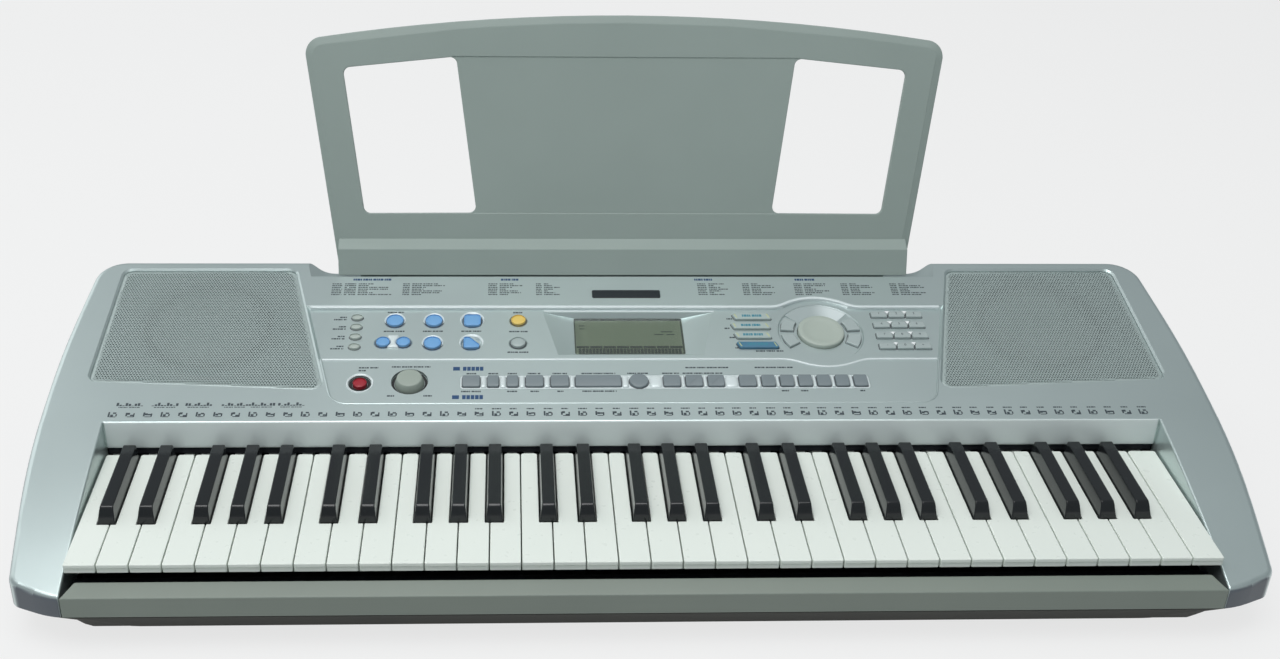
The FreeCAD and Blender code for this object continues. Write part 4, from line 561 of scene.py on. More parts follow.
def bead(work, path, size, floor):
    """Half-round rib along a path on the panel, of half a width, a rise and a skirt."""
    half, rise, skirt = size
    rings = []
    for index, place in enumerate(path):
        run = path[min(index + 1, len(path) - 1)] - path[max(index - 1, 0)]
        across = Vector((-run.y, run.x)).normalized()
        section = [(half, -skirt)]
        for step in range(BEAD_STEPS + 1):
            angle = math.pi * step / BEAD_STEPS
            section.append((half * math.cos(angle), rise * math.sin(angle)))
        section.append((-half, -skirt))
        ring = []
        for off, lift in section:
            spot = place + across * off
            ring.append(work.verts.new(on_panel(spot.x, spot.y, floor + lift)))
        rings.append(ring)
    skin(work, rings)


def softened(corners, turn):
    """Path through corners, with each inner corner drawn as a curve that starts a turn away from it."""
    path = [Vector(corners[0])]
    for before, corner, after in zip(corners, corners[1:], corners[2:]):
        corner = Vector(corner)
        start = corner + (Vector(before) - corner).normalized() * turn
        end = corner + (Vector(after) - corner).normalized() * turn
        for step in range(TURN_PARTS + 1):
            share = step / TURN_PARTS
            path.append(start * (1 - share) ** 2 + corner * 2 * share * (1 - share) + end * share ** 2)
    return path + [Vector(corners[-1])]


def swung(along, end, radius, side):
    """Path across the panel that gives way to a circle round the dial, towards the front or the rear."""
    path = []
    for step in range(int(2 * end / SWING_PITCH) + 1):
        x = step * SWING_PITCH - end
        square = radius ** 2 - (x - DIAL_PLACE.x) ** 2
        past = math.sqrt(square) - side * (along - DIAL_PLACE.y) if square > 0 else -radius
        give = SWING_SOFTNESS * math.log(1 + math.exp(past / SWING_SOFTNESS))
        path.append(Vector((x, along + side * give)))
    return path


beads = bmesh.new()
bead(beads, softened(TRAY_BEAD_CORNERS, TRAY_BEAD_TURN), TRAY_BEAD, PANEL_TOP)
closed_piece("panel_beads", beads, silver_abs, "case")

# The band's two beads and the one behind the display are drawn pale, a painted highlight along those
# edges, pressed into the steps' walls.
highlight_beads = bmesh.new()
bead(highlight_beads, swung(BAND_BEAD_ALONG, BAND_BEAD_END, DIAL_SWING, -1), BAND_BEAD, TRAY_FLOOR)
bead(highlight_beads, swung(REAR_BEAD_ALONG, REAR_BEAD_END, DIAL_HUMP, 1), REAR_BEAD, PANEL_TOP)
bead(highlight_beads, [Vector(place) for place in FUNNEL_REAR], FUNNEL_BEAD, BAND_FLOOR)
pale_abs_and_painted_highlight = moulded("pale_silver_abs_and_painted_highlight", ("#D3DDDE", "#DCE6E6"), 0.3, 0.7, 0.006, 0.1)
closed_piece("panel_highlight_beads", highlight_beads, pale_abs_and_painted_highlight, "case")

grey_ink = moulded("screen_printed_grey_ink", ("#333E44", "#3D484E"), 0.6, 0.5, 0.004)
blue_ink = moulded("screen_printed_blue_ink", ("#1F426A", "#284D76"), 0.6, 0.5, 0.004)

# Lists behind the display: blocks of short lines, a number and a name in each.
LIST_FIRST_LINE = 173.6
LIST_LINE_PITCH = 2.45
LIST_LINES = 7
LIST_TYPE = 1.2
LIST_HEADING = 179.6
HEADING_TYPE = 2.6
LIST_BLOCKS = (
    (-258, 9, 8), (-243, 6, 30), (-196, 6, 30), (-121, 8, 20), (-79, 5, 14),
    (64, 8, 18), (104, 6, 22), (150, 7, 22), (192, 6, 22), (236, 6, 24),
)
HEADINGS = ((-240, 34), (-110, 16), (62, 16), (152, 18))

lists = bmesh.new()
for start, number, name in LIST_BLOCKS:
    for line in range(LIST_LINES):
        along = LIST_FIRST_LINE - line * LIST_LINE_PITCH
        length = name * (0.62 + 0.38 * math.cos(1.7 * line + start))
        words(lists, start + number / 2, along, number, LIST_TYPE, PANEL_TOP)
        words(lists, start + number + 2 + length / 2, along, length, LIST_TYPE, PANEL_TOP)
new_piece("panel_lists", lists, grey_ink, "case")

# Legends over the keys: one small mark for each key, with a short line above most of them, and six
# small drawings at the left. The blocks of each vary by turns.
LEGEND_COUNT = 61
LEGEND_LEFT = -418.0
LEGEND_RIGHT = 413.0
LEGEND_ALONG = 9.0
LINE_TYPE = 1.3
DRAWING_ALONG = 19.7
DRAWING_PARTS = 9
DRAWING_TYPE = 0.9
DRAWINGS = (-406.2, -378.2, -351.5, -322.6, -301.2, -277.7)

legends = bmesh.new()
for index in range(LEGEND_COUNT):
    x = LEGEND_LEFT + (LEGEND_RIGHT - LEGEND_LEFT) * index / (LEGEND_COUNT - 1)
    tilt = math.cos(2.3 * index)
    bar(legends, x - 2.7, LEGEND_ALONG, 1.4, 4.6 + tilt, PANEL_TOP)
    bar(legends, x - 0.8 + 0.5 * tilt, LEGEND_ALONG - 1.2 * tilt, 2.2, 2.2, PANEL_TOP)
    bar(legends, x + 1.6, LEGEND_ALONG + 1.6 * tilt, 2.6, 1.6, PANEL_TOP)
    bar(legends, x + 3.2, LEGEND_ALONG - 0.8, 1.1, 3.6 - tilt, PANEL_TOP)
    bar(legends, x + 0.5, LEGEND_ALONG - 2.7, 4.8, 0.8, PANEL_TOP)
    if index > LEGEND_COUNT // 3:
        words(legends, x + 0.3 * tilt, LEGEND_ALONG + 5.4, 6.4 + tilt, LINE_TYPE, PANEL_TOP)
for index, x in enumerate(DRAWINGS):
    for part in range(DRAWING_PARTS):
        tilt = math.cos(1.9 * part + 2.7 * index)
        bar(legends, x - 9.6 + 2.4 * part, DRAWING_ALONG + 0.9 * tilt, 1.9, 2.1 + 1.6 * tilt, PANEL_TOP)
    words(legends, x, DRAWING_ALONG - 2.6, 17.0, DRAWING_TYPE, PANEL_TOP)
new_piece("key_legends", legends, grey_ink, "case")

# Legends by the buttons: across, along and width of each, in the band and in the tray.
LABEL_TYPE = 1.6
BAND_LEGENDS = (
    (-200.5, 112.5, 18), (-167.2, 112.5, 18), (-134.5, 112.5, 18), (-134.5, 137.0, 5), (-200.5, 137.5, 14),
    (-94.8, 137.0, 9), (-94.8, 112.0, 16), (-95.2, 85.5, 18), (118.0, 86.5, 24), (88.0, 128.5, 5),
    (85.0, 116.0, 5), (88.0, 104.0, 5), (92.0, 90.5, 6), (-245.0, 130.9, 6), (-247.5, 127.9, 11),
    (-245.0, 118.5, 6), (-247.5, 115.5, 11), (-245.0, 105.9, 6), (-247.5, 102.9, 11), (-245.0, 93.2, 6),
    (-247.5, 90.2, 11),
)
TRAY_LEGENDS = (
    (-219.0, 65.0, 16), (-224.0, 61.5, 6), (-184.0, 66.0, 32), (-199.0, 31.0, 6), (-169.0, 31.0, 7),
    (-134.0, 57.5, 8), (-116.0, 57.5, 8), (-100.0, 57.5, 8), (-82.0, 57.5, 11), (-61.0, 57.5, 12),
    (-29.0, 57.5, 28), (4.0, 57.5, 18), (31.0, 57.5, 14), (58.0, 57.5, 34), (-134.0, 36.0, 16),
    (-100.0, 36.0, 9), (-82.0, 36.0, 7), (-61.0, 36.0, 5), (-29.0, 36.0, 28), (124.0, 36.0, 6),
    (140.0, 36.0, 6), (188.0, 36.0, 4), (62.0, 64.5, 36), (118.0, 64.5, 32),
)

labels = bmesh.new()
for floor, rows in ((BAND_FLOOR, BAND_LEGENDS), (TRAY_FLOOR, TRAY_LEGENDS)):
    for x, along, width in rows:
        words(labels, x, along, width, LABEL_TYPE, floor)
new_piece("button_legends", labels, grey_ink, "case")

# Blue headings: over the lists, and two of a mark and five blocks beside the row of buttons.
HEADING_ROWS = (63.6, 29.3)
HEADING_MARK = (-146.4, 5.6, 4.4)
HEADING_BLOCK = (-139.6, 2.9, 4.8)
HEADING_BLOCKS = 5
HEADING_PITCH = 3.5
blue_legends = bmesh.new()
for x, width in HEADINGS:
    words(blue_legends, x + width / 2, LIST_HEADING, width, HEADING_TYPE, PANEL_TOP)
for along in HEADING_ROWS:
    x, width, depth = HEADING_MARK
    bar(blue_legends, x, along, width, depth, TRAY_FLOOR)
    x, width, depth = HEADING_BLOCK
    for index in range(HEADING_BLOCKS):
        bar(blue_legends, x + index * HEADING_PITCH, along, width, depth, TRAY_FLOOR)
new_piece("section_headings", blue_legends, blue_ink, "case")


# Panel board and rotary sensors: the switches under the buttons, and what the dial and knob turn.
# Epoxy board like the main one; the sensors are black moulded housings.

dress("panel_board", board_epoxy)
dress("rotary_sensors", socket_nylon)


# Display: a liquid-crystal cell behind a clear pane, at the bottom of a funnel in the panel.
# The pane is polished acrylic. The cell is grey-green glass, drawn paler than it is: painted light that
# makes up for the light the pane holds back. Its unlit segments show faintly as darker shapes, and dark
# bars along its rear and side edges are painted shade under the bezel.

CELL_LIT_SHADES = ("#7F8A77", "#8A9582")
SEGMENT_FLOOR = -9.08
HAZE_WIDTH = 25.0
KEYS_ON_CELL = 30
KEYS_LEFT = -44.0
KEYS_RIGHT = 44.0
KEYS_ALONG = 92.8
KEYS_DEPTH = 7.0
BEATS = 8
BEAT_LEFT = -40.0
BEAT_PITCH = 11.4
BEATS_ALONG = 98.2
BEAT_SIZE = (10.6, 2.8)
# The last three marks are dark bars along the cell's rear, right and left edges: painted shade under the
# bezel.
CELL_MARKS = (
    (33.0, 118.0, 10.0, 1.2), (36.0, 114.5, 7.0, 1.2), (26.0, 114.5, 8.0, 1.2), (-40.0, 126.0, 5.0, 1.2),
    (-40.0, 122.0, 4.0, 1.2), (0.0, 133.4, 93.0, 1.5), (46.0, 110.5, 1.2, 44.0), (-46.2, 110.5, 0.8, 44.0),
)

pane = empty_material("polished_clear_acrylic")
pane_place = add_node(pane, "TexCoord", {}, {}).outputs["Object"]
pane_haze = add_node(pane, "TexNoise", {}, {"Vector": pane_place, "Scale": 1 / (HAZE_WIDTH * MM)})
pane_shine = add_node(
    pane, "MapRange", {}, {"Value": pane_haze.outputs[0], "To Min": 0.03, "To Max": 0.1}
)
pane_surface = add_node(
    pane,
    "BsdfPrincipled",
    {},
    {
        "Base Color": linear("#F2F6F2"),
        "Roughness": pane_shine.outputs[0],
        "IOR": 1.49,
        "Transmission Weight": 1.0,
    },
)
add_node(pane, "OutputMaterial", {}, {"Surface": pane_surface.outputs[0]})
dress("display_window", pane)

cell_glass = moulded("grey_green_liquid_crystal_cell", CELL_LIT_SHADES, 0.35, 3.0, 0.002)
dress("display_module", cell_glass)

segments = bmesh.new()
key_pitch = (KEYS_RIGHT - KEYS_LEFT) / KEYS_ON_CELL
for index in range(KEYS_ON_CELL):
    x = KEYS_LEFT + (index + 0.5) * key_pitch
    bar(segments, x, KEYS_ALONG, key_pitch * 0.86, KEYS_DEPTH, SEGMENT_FLOOR)
for index in range(BEATS):
    bar(segments, BEAT_LEFT + index * BEAT_PITCH, BEATS_ALONG, *BEAT_SIZE, SEGMENT_FLOOR)
for x, along, width, depth in CELL_MARKS:
    bar(segments, x, along, width, depth, SEGMENT_FLOOR)
segment_and_shade_ink = moulded("unlit_segments_and_painted_shade", ("#343B39", "#3E4643"), 0.4, 0.5, 0.002)
new_piece("display_segments_and_shade", segments, segment_and_shade_ink, "case")


# Badge: a small bare plate let into the panel above the display.
# Gloss black ABS with a bright edge.

badge_abs = moulded("gloss_black_abs", ("#1A2026", "#20262C"), 0.2, 5.0, 0.004)
eased("badge_plate", badge_abs, 0.35)


# Button strip and its row of buttons: 17 caps along the front of the panel, in one pale strip.
# The strip is pale silver ABS with a rounded saddle between caps, whose pale colour is partly the strip's
# own and partly painted highlight. The caps are mid-grey ABS, each with a lower front facet for the
# fingertip.

FACET_RUN = 3.4
FACET_DROP = 1.1
FACET_EDGE = 0.5
FACET_SHARP = math.radians(40)
CAP_HEAD = 1.0
CAP_FOOT = 0.5
SADDLE_RISE = 1.7
SADDLE_DEPTH = 14.6
SADDLE_CLEAR = 1.3
SADDLE_SHARES = (0.0, 0.08, 0.22, 0.42, 0.66, 0.9)
SADDLE_CORNER = 0.6
ROW_ALONG = 47.0
WIDEST_SADDLE = 16.0
ROW_NODES = ("style_buttons", "start_button", "sync_button", "setting_buttons", "memory_buttons")


def islands(node):
    """Each cap of a button node as places on the panel, in millimetres, from left to right."""
    work = copied(node)
    left = set(work.verts)
    caps = []
    while left:
        reach = [left.pop()]
        cap = []
        while reach:
            point = reach.pop()
            cap.append(panel_place(point.co))
            for line in point.link_edges:
                other = line.other_vert(point)
                if other in left:
                    left.discard(other)
                    reach.append(other)
        caps.append(cap)
    work.free()
    return sorted(caps, key=lambda cap: min(place.x for place in cap))


def faceted(node, material):
    """Copy of a button node whose caps fall away at the front."""
    work = copied(node)
    places = [panel_place(point.co) for point in work.verts]
    top = max(place.z for place in places)
    front = min(place.y for place in places if place.z > top - CAP_HEAD)
    bend = front + FACET_RUN
    cut = work.verts[:] + work.edges[:] + work.faces[:]
    slope_up = PANEL.to_3x3() @ Vector((0, 1, 0))
    bmesh.ops.bisect_plane(work, geom=cut, plane_co=on_panel(0, bend, 0), plane_no=slope_up)
    for point in work.verts:
        place = panel_place(point.co)
        if place.y < bend and place.z > TRAY_FLOOR - CAP_FOOT:
            fall = FACET_DROP * (bend - place.y) / FACET_RUN
            point.co = on_panel(place.x, place.y, place.z - fall)
    flatten(work)
    rim = []
    for line in work.edges:
        over = min(panel_place(end.co).z for end in line.verts) > TRAY_FLOOR
        if over and line.is_manifold and line.is_convex and line.calc_face_angle() > FACET_SHARP:
            rim.append(line)
    round_off(work, rim, FACET_EDGE)
    stand_in(node, "_caps", work, material)


def pad(work, x, along, width, depth, floor, rise):
    """Rounded pad that swells from the panel like a cushion of moulded plastic."""
    half, deep = width / 2, depth / 2
    rings = []
    for share in SADDLE_SHARES:
        inward = share * min(half, deep)
        corner = (min(half, deep) - inward) * SADDLE_CORNER
        lift = rise * math.sqrt(1 - (1 - share) ** 2)
        ring = []
        for cx, cy, turn in ((1, 1, 0), (-1, 1, 90), (-1, -1, 180), (1, -1, 270)):
            for step in range(4):
                angle = math.radians(turn + step * 30)
                px = x + cx * (half - inward - corner)
                py = along + cy * (deep - inward - corner)
                ring.append(work.verts.new(round_place(px, py, corner, angle, floor + lift)))
        rings.append(ring)
    skin(work, rings)


row_abs = moulded("spark_eroded_mid_grey_abs", ("#747F83", "#7E898D"), 0.45, 0.6, 0.012)
dress("button_strip", pale_abs_and_painted_highlight)
for node in ROW_NODES:
    faceted(node, row_abs)

spans = []
for node in ROW_NODES:
    for cap in islands(node):
        upper = [place.x for place in cap if place.z > TRAY_FLOOR]
        spans.append((min(upper), max(upper)))
spans.sort()
saddles = bmesh.new()
for cap, following in zip(spans, spans[1:]):
    gap = min(following[0] - cap[1], WIDEST_SADDLE)
    middle = (cap[1] + following[0]) / 2
    pad(saddles, middle, ROW_ALONG, gap - SADDLE_CLEAR, SADDLE_DEPTH, TRAY_FLOOR, SADDLE_RISE)
new_piece("strip_saddles", saddles, pale_abs_and_painted_highlight, "case")


# Panel buttons: round, oval and shaped caps in the sunk band, a number pad and four category bars.
# Moulded ABS, coloured right through: blue, yellow, red and grey. The round caps are crowned, and sit low
# in pale rims of painted highlight, each in a thin dark silicone skirt of painted shade.

CAP_TRIM = 1.0
UPRIGHT = 0.999
CROWN = ((0.95, 0.12), (0.85, 0.28), (0.65, 0.46), (0.35, 0.58), (0.12, 0.62))


def crowned(node, material):
    """Copy of a button node with a swelling top on each cap, which is trimmed lower."""
    work = copied(node)
    flatten(work)
    upward = PANEL.to_3x3() @ Vector((0, 0, 1))
    top = max(panel_place(point.co).z for point in work.verts)
    for point in work.verts:
        if panel_place(point.co).z > top - LEVEL_WITHIN:
            point.co -= upward * (CAP_TRIM * MM)
    flats = []
    for face in work.faces:
        height = panel_place(face.calc_center_median()).z
        if face.normal.dot(upward) > UPRIGHT and height > top - CAP_TRIM - LEVEL_WITHIN:
            flats.append(face)
    for face in flats:
        ring = face.verts[:]
        edge = [point.co.copy() for point in ring]
        middle = sum(edge, Vector()) / len(edge)
        work.faces.remove(face)
        for scale, lift in CROWN:
            inner = []
            for place in edge:
                inner.append(work.verts.new(middle + (place - middle) * scale + upward * (lift * MM)))
            for step in range(len(ring)):
                after = (step + 1) % len(ring)
                work.faces.new((ring[step], ring[after], inner[after], inner[step]))
            ring = inner
        work.faces.new(ring)
    stand_in(node, "_caps", work, material)


blue_abs = moulded("sky_blue_abs", ("#6BA0D2", "#78ABD9"), 0.35, 0.8, 0.006)
yellow_abs = moulded("warm_yellow_abs", ("#DDBF63", "#E5C970"), 0.35, 0.8, 0.006)
red_abs = moulded("signal_red_abs", ("#93202D", "#A52B37"), 0.3, 0.8, 0.006)
cap_abs = moulded("fine_grey_abs", ("#A6B2B1", "#B1BDBC"), 0.42, 0.7, 0.01, 0.15)
oval_abs = moulded("pale_grey_abs", ("#A6B1AB", "#B1BBB5"), 0.38, 0.7, 0.008)
bar_abs = moulded("pale_green_grey_abs", ("#A3B2AF", "#AEBCB9"), 0.42, 0.7, 0.01)
deep_blue_abs = moulded("steel_blue_abs", ("#45748F", "#507F99"), 0.4, 0.8, 0.006)
crowned("blue_buttons", blue_abs)
crowned("yellow_button", yellow_abs)
crowned("power_button", red_abs)
crowned("grey_button", cap_abs)
crowned("oval_buttons", oval_abs)
dress("dial_buttons", cap_abs)
dress("number_buttons", cap_abs)

# Saddle between the two paired caps, as pale as the strip: a painted highlight on the ridge between them.
# Its waist follows the round caps.
PAIR_MIDDLE = Vector((-200.7, 97.8))
PAIR_REACH = 8.6
PAIR_CLEAR = 6.3
PAIR_HALF = 4.6
PAIR_ENDS = (-7.2, 8.8)
PAIR_RISE = 1.9
PAIR_STEPS = 14
PAIR_SHARES = (0.0, 0.1, 0.25, 0.45, 0.7, 0.92)
pair_saddle = bmesh.new()
rings = []
for share in PAIR_SHARES:
    above = BAND_FLOOR + PAIR_RISE * math.sqrt(1 - (1 - share) ** 2)
    right, left = [], []
    for step in range(PAIR_STEPS + 1):
        off = PAIR_ENDS[0] + (PAIR_ENDS[1] - PAIR_ENDS[0]) * step / PAIR_STEPS
        waist = PAIR_REACH - math.sqrt(max(PAIR_CLEAR ** 2 - off ** 2, 0.0))
        half = min(PAIR_HALF, waist) * (1 - 0.85 * share)
        along = PAIR_MIDDLE.y + off * (1 - 0.3 * share)
        right.append(pair_saddle.verts.new(on_panel(PAIR_MIDDLE.x + half, along, above)))
        left.append(pair_saddle.verts.new(on_panel(PAIR_MIDDLE.x - half, along, above)))
    rings.append(right + left[::-1])
skin(pair_saddle, rings)
closed_piece("pair_saddle", pair_saddle, pale_abs_and_painted_highlight, "case")

# Scoops: a pale crescent rises behind each sunk cap and thins out towards its front, a painted highlight
# on the lit rear wall of the cap's dish. The power button has a whole pale ring.
SCOOP_GAP = 0.5
SCOOP_STEPS = 40
SCOOP_SECTION = ((0.0, -0.2), (0.0, 0.05), (1.0, 0.95), (1.5, 1.15), (2.0, 0.95), (2.6, -0.2))
SCOOP_REACH = math.radians(24)
SMALLEST_SCOOP = 6.5
RING_SWELL = 0.75
POWER_RIM = 9.1


def middle_of(places):
    """Middle of some places on the panel, across and along."""
    across = [place.x for place in places]
    along = [place.y for place in places]
    return (min(across) + max(across)) / 2, (min(along) + max(along)) / 2


def scoop(work, x, along, radius, floor, whole=False):
    """Crescent round a cap, widest at the rear, or a ring of the same section."""
    rings = []
    for step in range(SCOOP_STEPS if whole else SCOOP_STEPS + 1):
        share = step / SCOOP_STEPS
        angle = 2 * math.pi * share
        swell = RING_SWELL
        if not whole:
            angle = -SCOOP_REACH + (math.pi + 2 * SCOOP_REACH) * share
            swell = max(math.sin(math.pi * share), 0.0) ** 0.7 + 0.02
        ring = []
        for off, lift in SCOOP_SECTION:
            reach = radius + SCOOP_GAP + swell * off
            ring.append(work.verts.new(round_place(x, along, reach, angle, floor + swell * lift)))
        rings.append(ring)
    skin(work, rings, around=whole)


scoops = bmesh.new()
for node in ("blue_buttons", "yellow_button", "grey_button"):
    for cap in islands(node):
        upper = [place for place in cap if place.z > BAND_FLOOR]
        x, along = middle_of(upper)
        radius = max(math.hypot(place.x - x, place.y - along) for place in upper)
        if radius > SMALLEST_SCOOP:
            scoop(scoops, x, along, radius, BAND_FLOOR)
power_cap = islands("power_button")[0]
power_x = sum(place.x for place in power_cap) / len(power_cap)
power_along = sum(place.y for place in power_cap) / len(power_cap)
scoop(scoops, power_x, power_along, POWER_RIM, TRAY_FLOOR, whole=True)
closed_piece("button_highlight_scoops", scoops, pale_abs_and_painted_highlight, "case")

# Skirts: a thin dark lip of grey silicone closes the clearance round each cap, painted shade for the dark
# gap there.
SKIRT_SECTION = ((0.12, -0.2), (0.12, 0.06), (0.72, 0.06), (0.72, -0.2))
DISH_FLOOR = -3.45
BAND_NODES = (
    "oval_buttons", "blue_buttons", "yellow_button", "grey_button", "number_buttons", "category_buttons",
)
skirt_floors = [(node, BAND_FLOOR) for node in BAND_NODES] + [(node, TRAY_FLOOR) for node in ROW_NODES]
shade_skirts = bmesh.new()
for node, floor in skirt_floors + [("dial_buttons", DISH_FLOOR)]:
    for cap in islands(node):
        flat = [place.to_2d() for place in cap if place.z > floor]
        outline = [flat[index] for index in geometry.convex_hull_2d(flat)]
        middle = sum(outline, Vector((0, 0))) / len(outline)
        rings = []
        for place in outline:
            ring = []
            for off, lift in SKIRT_SECTION:
                spot = place + (place - middle).normalized() * off
                ring.append(shade_skirts.verts.new(on_panel(spot.x, spot.y, floor + lift)))
            rings.append(ring)
        skin(shade_skirts, rings, around=True)
closed_piece("cap_shade_skirts", shade_skirts, silicone_and_painted_shade, "case")

# Number pad: a pale wedge fills the notch between two caps, a painted highlight there, and each cap has
# its figure.
NUMBER_X = 234.4
NUMBER_PITCH = 15.3
NUMBER_ROWS = (132.6, 119.0, 105.2, 91.4)
NUMBER_HALF_DEPTH = 3.5
WEDGE = ((-2.3, 0.5), (2.3, 0.5), (0.0, -3.3))
WEDGE_LEVELS = ((1.0, -0.3), (1.0, 1.85), (0.7, 2.25))
WEDGE_LEAN = 0.9
FIGURES = ("123", "456", "789", "-0+")
FIGURE_SIZE = 3.6
FIGURE_BACK = 0.6
CAP_TOP = -0.2

highlight_wedges = bmesh.new()
for along in NUMBER_ROWS:
    for side in (-0.5, 0.5):
        x = NUMBER_X + side * NUMBER_PITCH
        rings = []
        for spread, lift in WEDGE_LEVELS:
            ring = []
            for dx, dy in WEDGE:
                behind = NUMBER_HALF_DEPTH + spread * (dy + WEDGE_LEAN) - WEDGE_LEAN
                spot = on_panel(x + spread * dx, along + behind, BAND_FLOOR + lift)
                ring.append(highlight_wedges.verts.new(spot))
            rings.append(ring)
        skin(highlight_wedges, rings)
highlight_wedge_abs = moulded("white_painted_highlight_abs", ("#EDF2F2", "#F4F8F8"), 0.25, 0.7, 0.004)
closed_piece("number_highlight_wedges", highlight_wedges, highlight_wedge_abs, "case")


def figure(work, text, x, along, size, floor):
    """Printed figure round a place on the panel."""
    curve = bpy.data.curves.new("figure", "FONT")
    curve.body = text
    curve.size = size
    curve.extrude = INK_HEIGHT
    curve.align_x = "CENTER"
    curve.align_y = "CENTER"
    holder = bpy.data.objects.new("figure", curve)
    first = len(work.verts)
    work.from_mesh(holder.to_mesh())
    work.verts.ensure_lookup_table()
    for point in work.verts[first:]:
        point.co = on_panel(x + point.co.x, along + point.co.y, floor + point.co.z)
    holder.to_mesh_clear()
    bpy.data.objects.remove(holder)
    bpy.data.curves.remove(curve)


figures = bmesh.new()
for along, row in zip(NUMBER_ROWS, FIGURES):
    for column, text in enumerate(row):
        x = NUMBER_X + (column - 1) * NUMBER_PITCH
        figure(figures, text, x, along + FIGURE_BACK, FIGURE_SIZE, CAP_TOP)
new_piece("number_figures", figures, grey_ink, "number_buttons")

# Category bars: the last one is steel blue. Each has printed edges and a printed bar.
EDGE_INSET = 0.9
EDGE_WIDTH = 0.9
BAR_DEPTH = 10.0
BAR_MARK = (17.0, 2.9)
category_caps = eased("category_buttons", bar_abs, 0.3)
category_caps.data.materials.append(deep_blue_abs)
bars = islands("category_buttons")
last_bar = min(min(place.y for place in cap) for cap in bars)
for face in category_caps.data.polygons:
    if panel_place(face.center).y < last_bar + BAR_DEPTH:
        face.material_index = 1

edge_marks = bmesh.new()
bar_marks = bmesh.new()
for cap in bars:
    over = [place for place in cap if place.z > CAP_TOP - LEVEL_WITHIN]
    front = min(place.y for place in over)
    rear = max(place.y for place in over)
    middle = (front + rear) / 2
    across = sum(place.x for place in over) / len(over)
    words(bar_marks, across, middle + 0.3, *BAR_MARK, CAP_TOP)
    near = [place.x for place in over if place.y < middle]
    far = [place.x for place in over if place.y > middle]
    for pick, step in ((min, 1), (max, -1)):
        low = pick(near) + step * EDGE_INSET
        high = pick(far) + step * EDGE_INSET
        corners = (
            (low, front + EDGE_INSET),
            (low + step * EDGE_WIDTH, front + EDGE_INSET),
            (high + step * EDGE_WIDTH, rear - EDGE_INSET),
            (high, rear - EDGE_INSET),
        )
        slab(edge_marks, corners if step > 0 else corners[::-1], CAP_TOP)
lime_ink = moulded("screen_printed_lime_ink", ("#B9BF86", "#C4C991"), 0.6, 0.5, 0.004)
teal_ink = moulded("screen_printed_teal_ink", ("#3E7F92", "#4A8A9C"), 0.6, 0.5, 0.004)
new_piece("category_edges", edge_marks, lime_ink, "category_buttons")
new_piece("category_marks", bar_marks, teal_ink, "category_buttons")


# Data dial and volume knob: two turned-looking knobs on their sensors' shafts.
# Satin grey ABS. The dial has a fine rim and a shallow dished face, the knob a flat crown.

DIAL_PROFILE = (
    (0.0, -0.5), (9.0, -0.35), (14.6, 0.0), (15.2, 0.25), (16.0, 0.4), (18.4, 0.4),
    (19.3, 0.15), (19.8, -0.5), (19.9, -1.2), (19.9, -4.2), (5.0, -4.2), (5.0, -9.3),
    (3.0, -9.3), (3.0, -13.0), (0.0, -13.0),
)
KNOB_PROFILE = (
    (0.0, 3.7), (8.4, 3.65), (9.7, 3.5), (10.2, 3.15), (10.4, 2.6), (12.2, -2.4),
    (12.2, -3.8), (5.0, -3.8), (5.0, -9.3), (3.0, -9.3), (3.0, -13.0), (0.0, -13.0),
)
TURN_STEPS = 72


def turned(name, profile, x, along, material, body):
    """Piece turned about an axis square to the panel, from (radius, above the panel) points."""
    work = bmesh.new()
    rings = []
    for radius, above in profile:
        if radius == 0.0:
            rings.append([work.verts.new(on_panel(x, along, above))])
            continue
        ring = []
        for step in range(TURN_STEPS):
            angle = 2 * math.pi * step / TURN_STEPS
            ring.append(work.verts.new(round_place(x, along, radius, angle, above)))
        rings.append(ring)
    for upper, lower in zip(rings, rings[1:]):
        for step in range(TURN_STEPS):
            after = (step + 1) % TURN_STEPS
            corners = [upper[step % len(upper)], lower[step % len(lower)]]
            if len(lower) > 1:
                corners.append(lower[after])
            if len(upper) > 1:
                corners.append(upper[after])
            work.faces.new(corners)
    bmesh.ops.remove_doubles(work, verts=work.verts, dist=JOIN_WITHIN * MM)
    return closed_piece(name, work, material, body)


def washer(name, inner, outer, under, top, x, along, material, slot):
    """Flat ring of the case, between two heights off the panel."""
    ring = ((inner, top), (outer, top), (outer, under), (inner, under), (inner, top))
    turned(name, ring, x, along, material, "case")


def node_places(node):
    """Places of a solid's points on the panel, in millimetres."""
    return [panel_place(point.co) for point in frame["nodes"][node].data.vertices]


# The dial's dish: its floor sweeps up behind the dial, from the dial's edge to the rim. It is drawn grey
# at the left, grading to pale at the right: painted light, shade on the left and a highlight on the right
# of the sweep.
DISH_SWEEP = (
    (22.4, -3.38), (26.0, -3.28), (30.0, -3.0), (33.5, -2.6), (35.6, -2.25), (36.3, -2.6), (36.3, -3.6),
    (22.4, -3.6),
)
DISH_START = math.radians(44)
DISH_END = math.radians(141)
DISH_STEPS = 36
DISH_HIGHLIGHT_SHADES = ("#D3DDDE", "#DCE6E6")
DISH_SHADED_GREY = "#A9B5B5"
SHADED_UNTIL = DIAL_PLACE.x - 6.0
HIGHLIGHT_FROM = DIAL_PLACE.x + 14.0

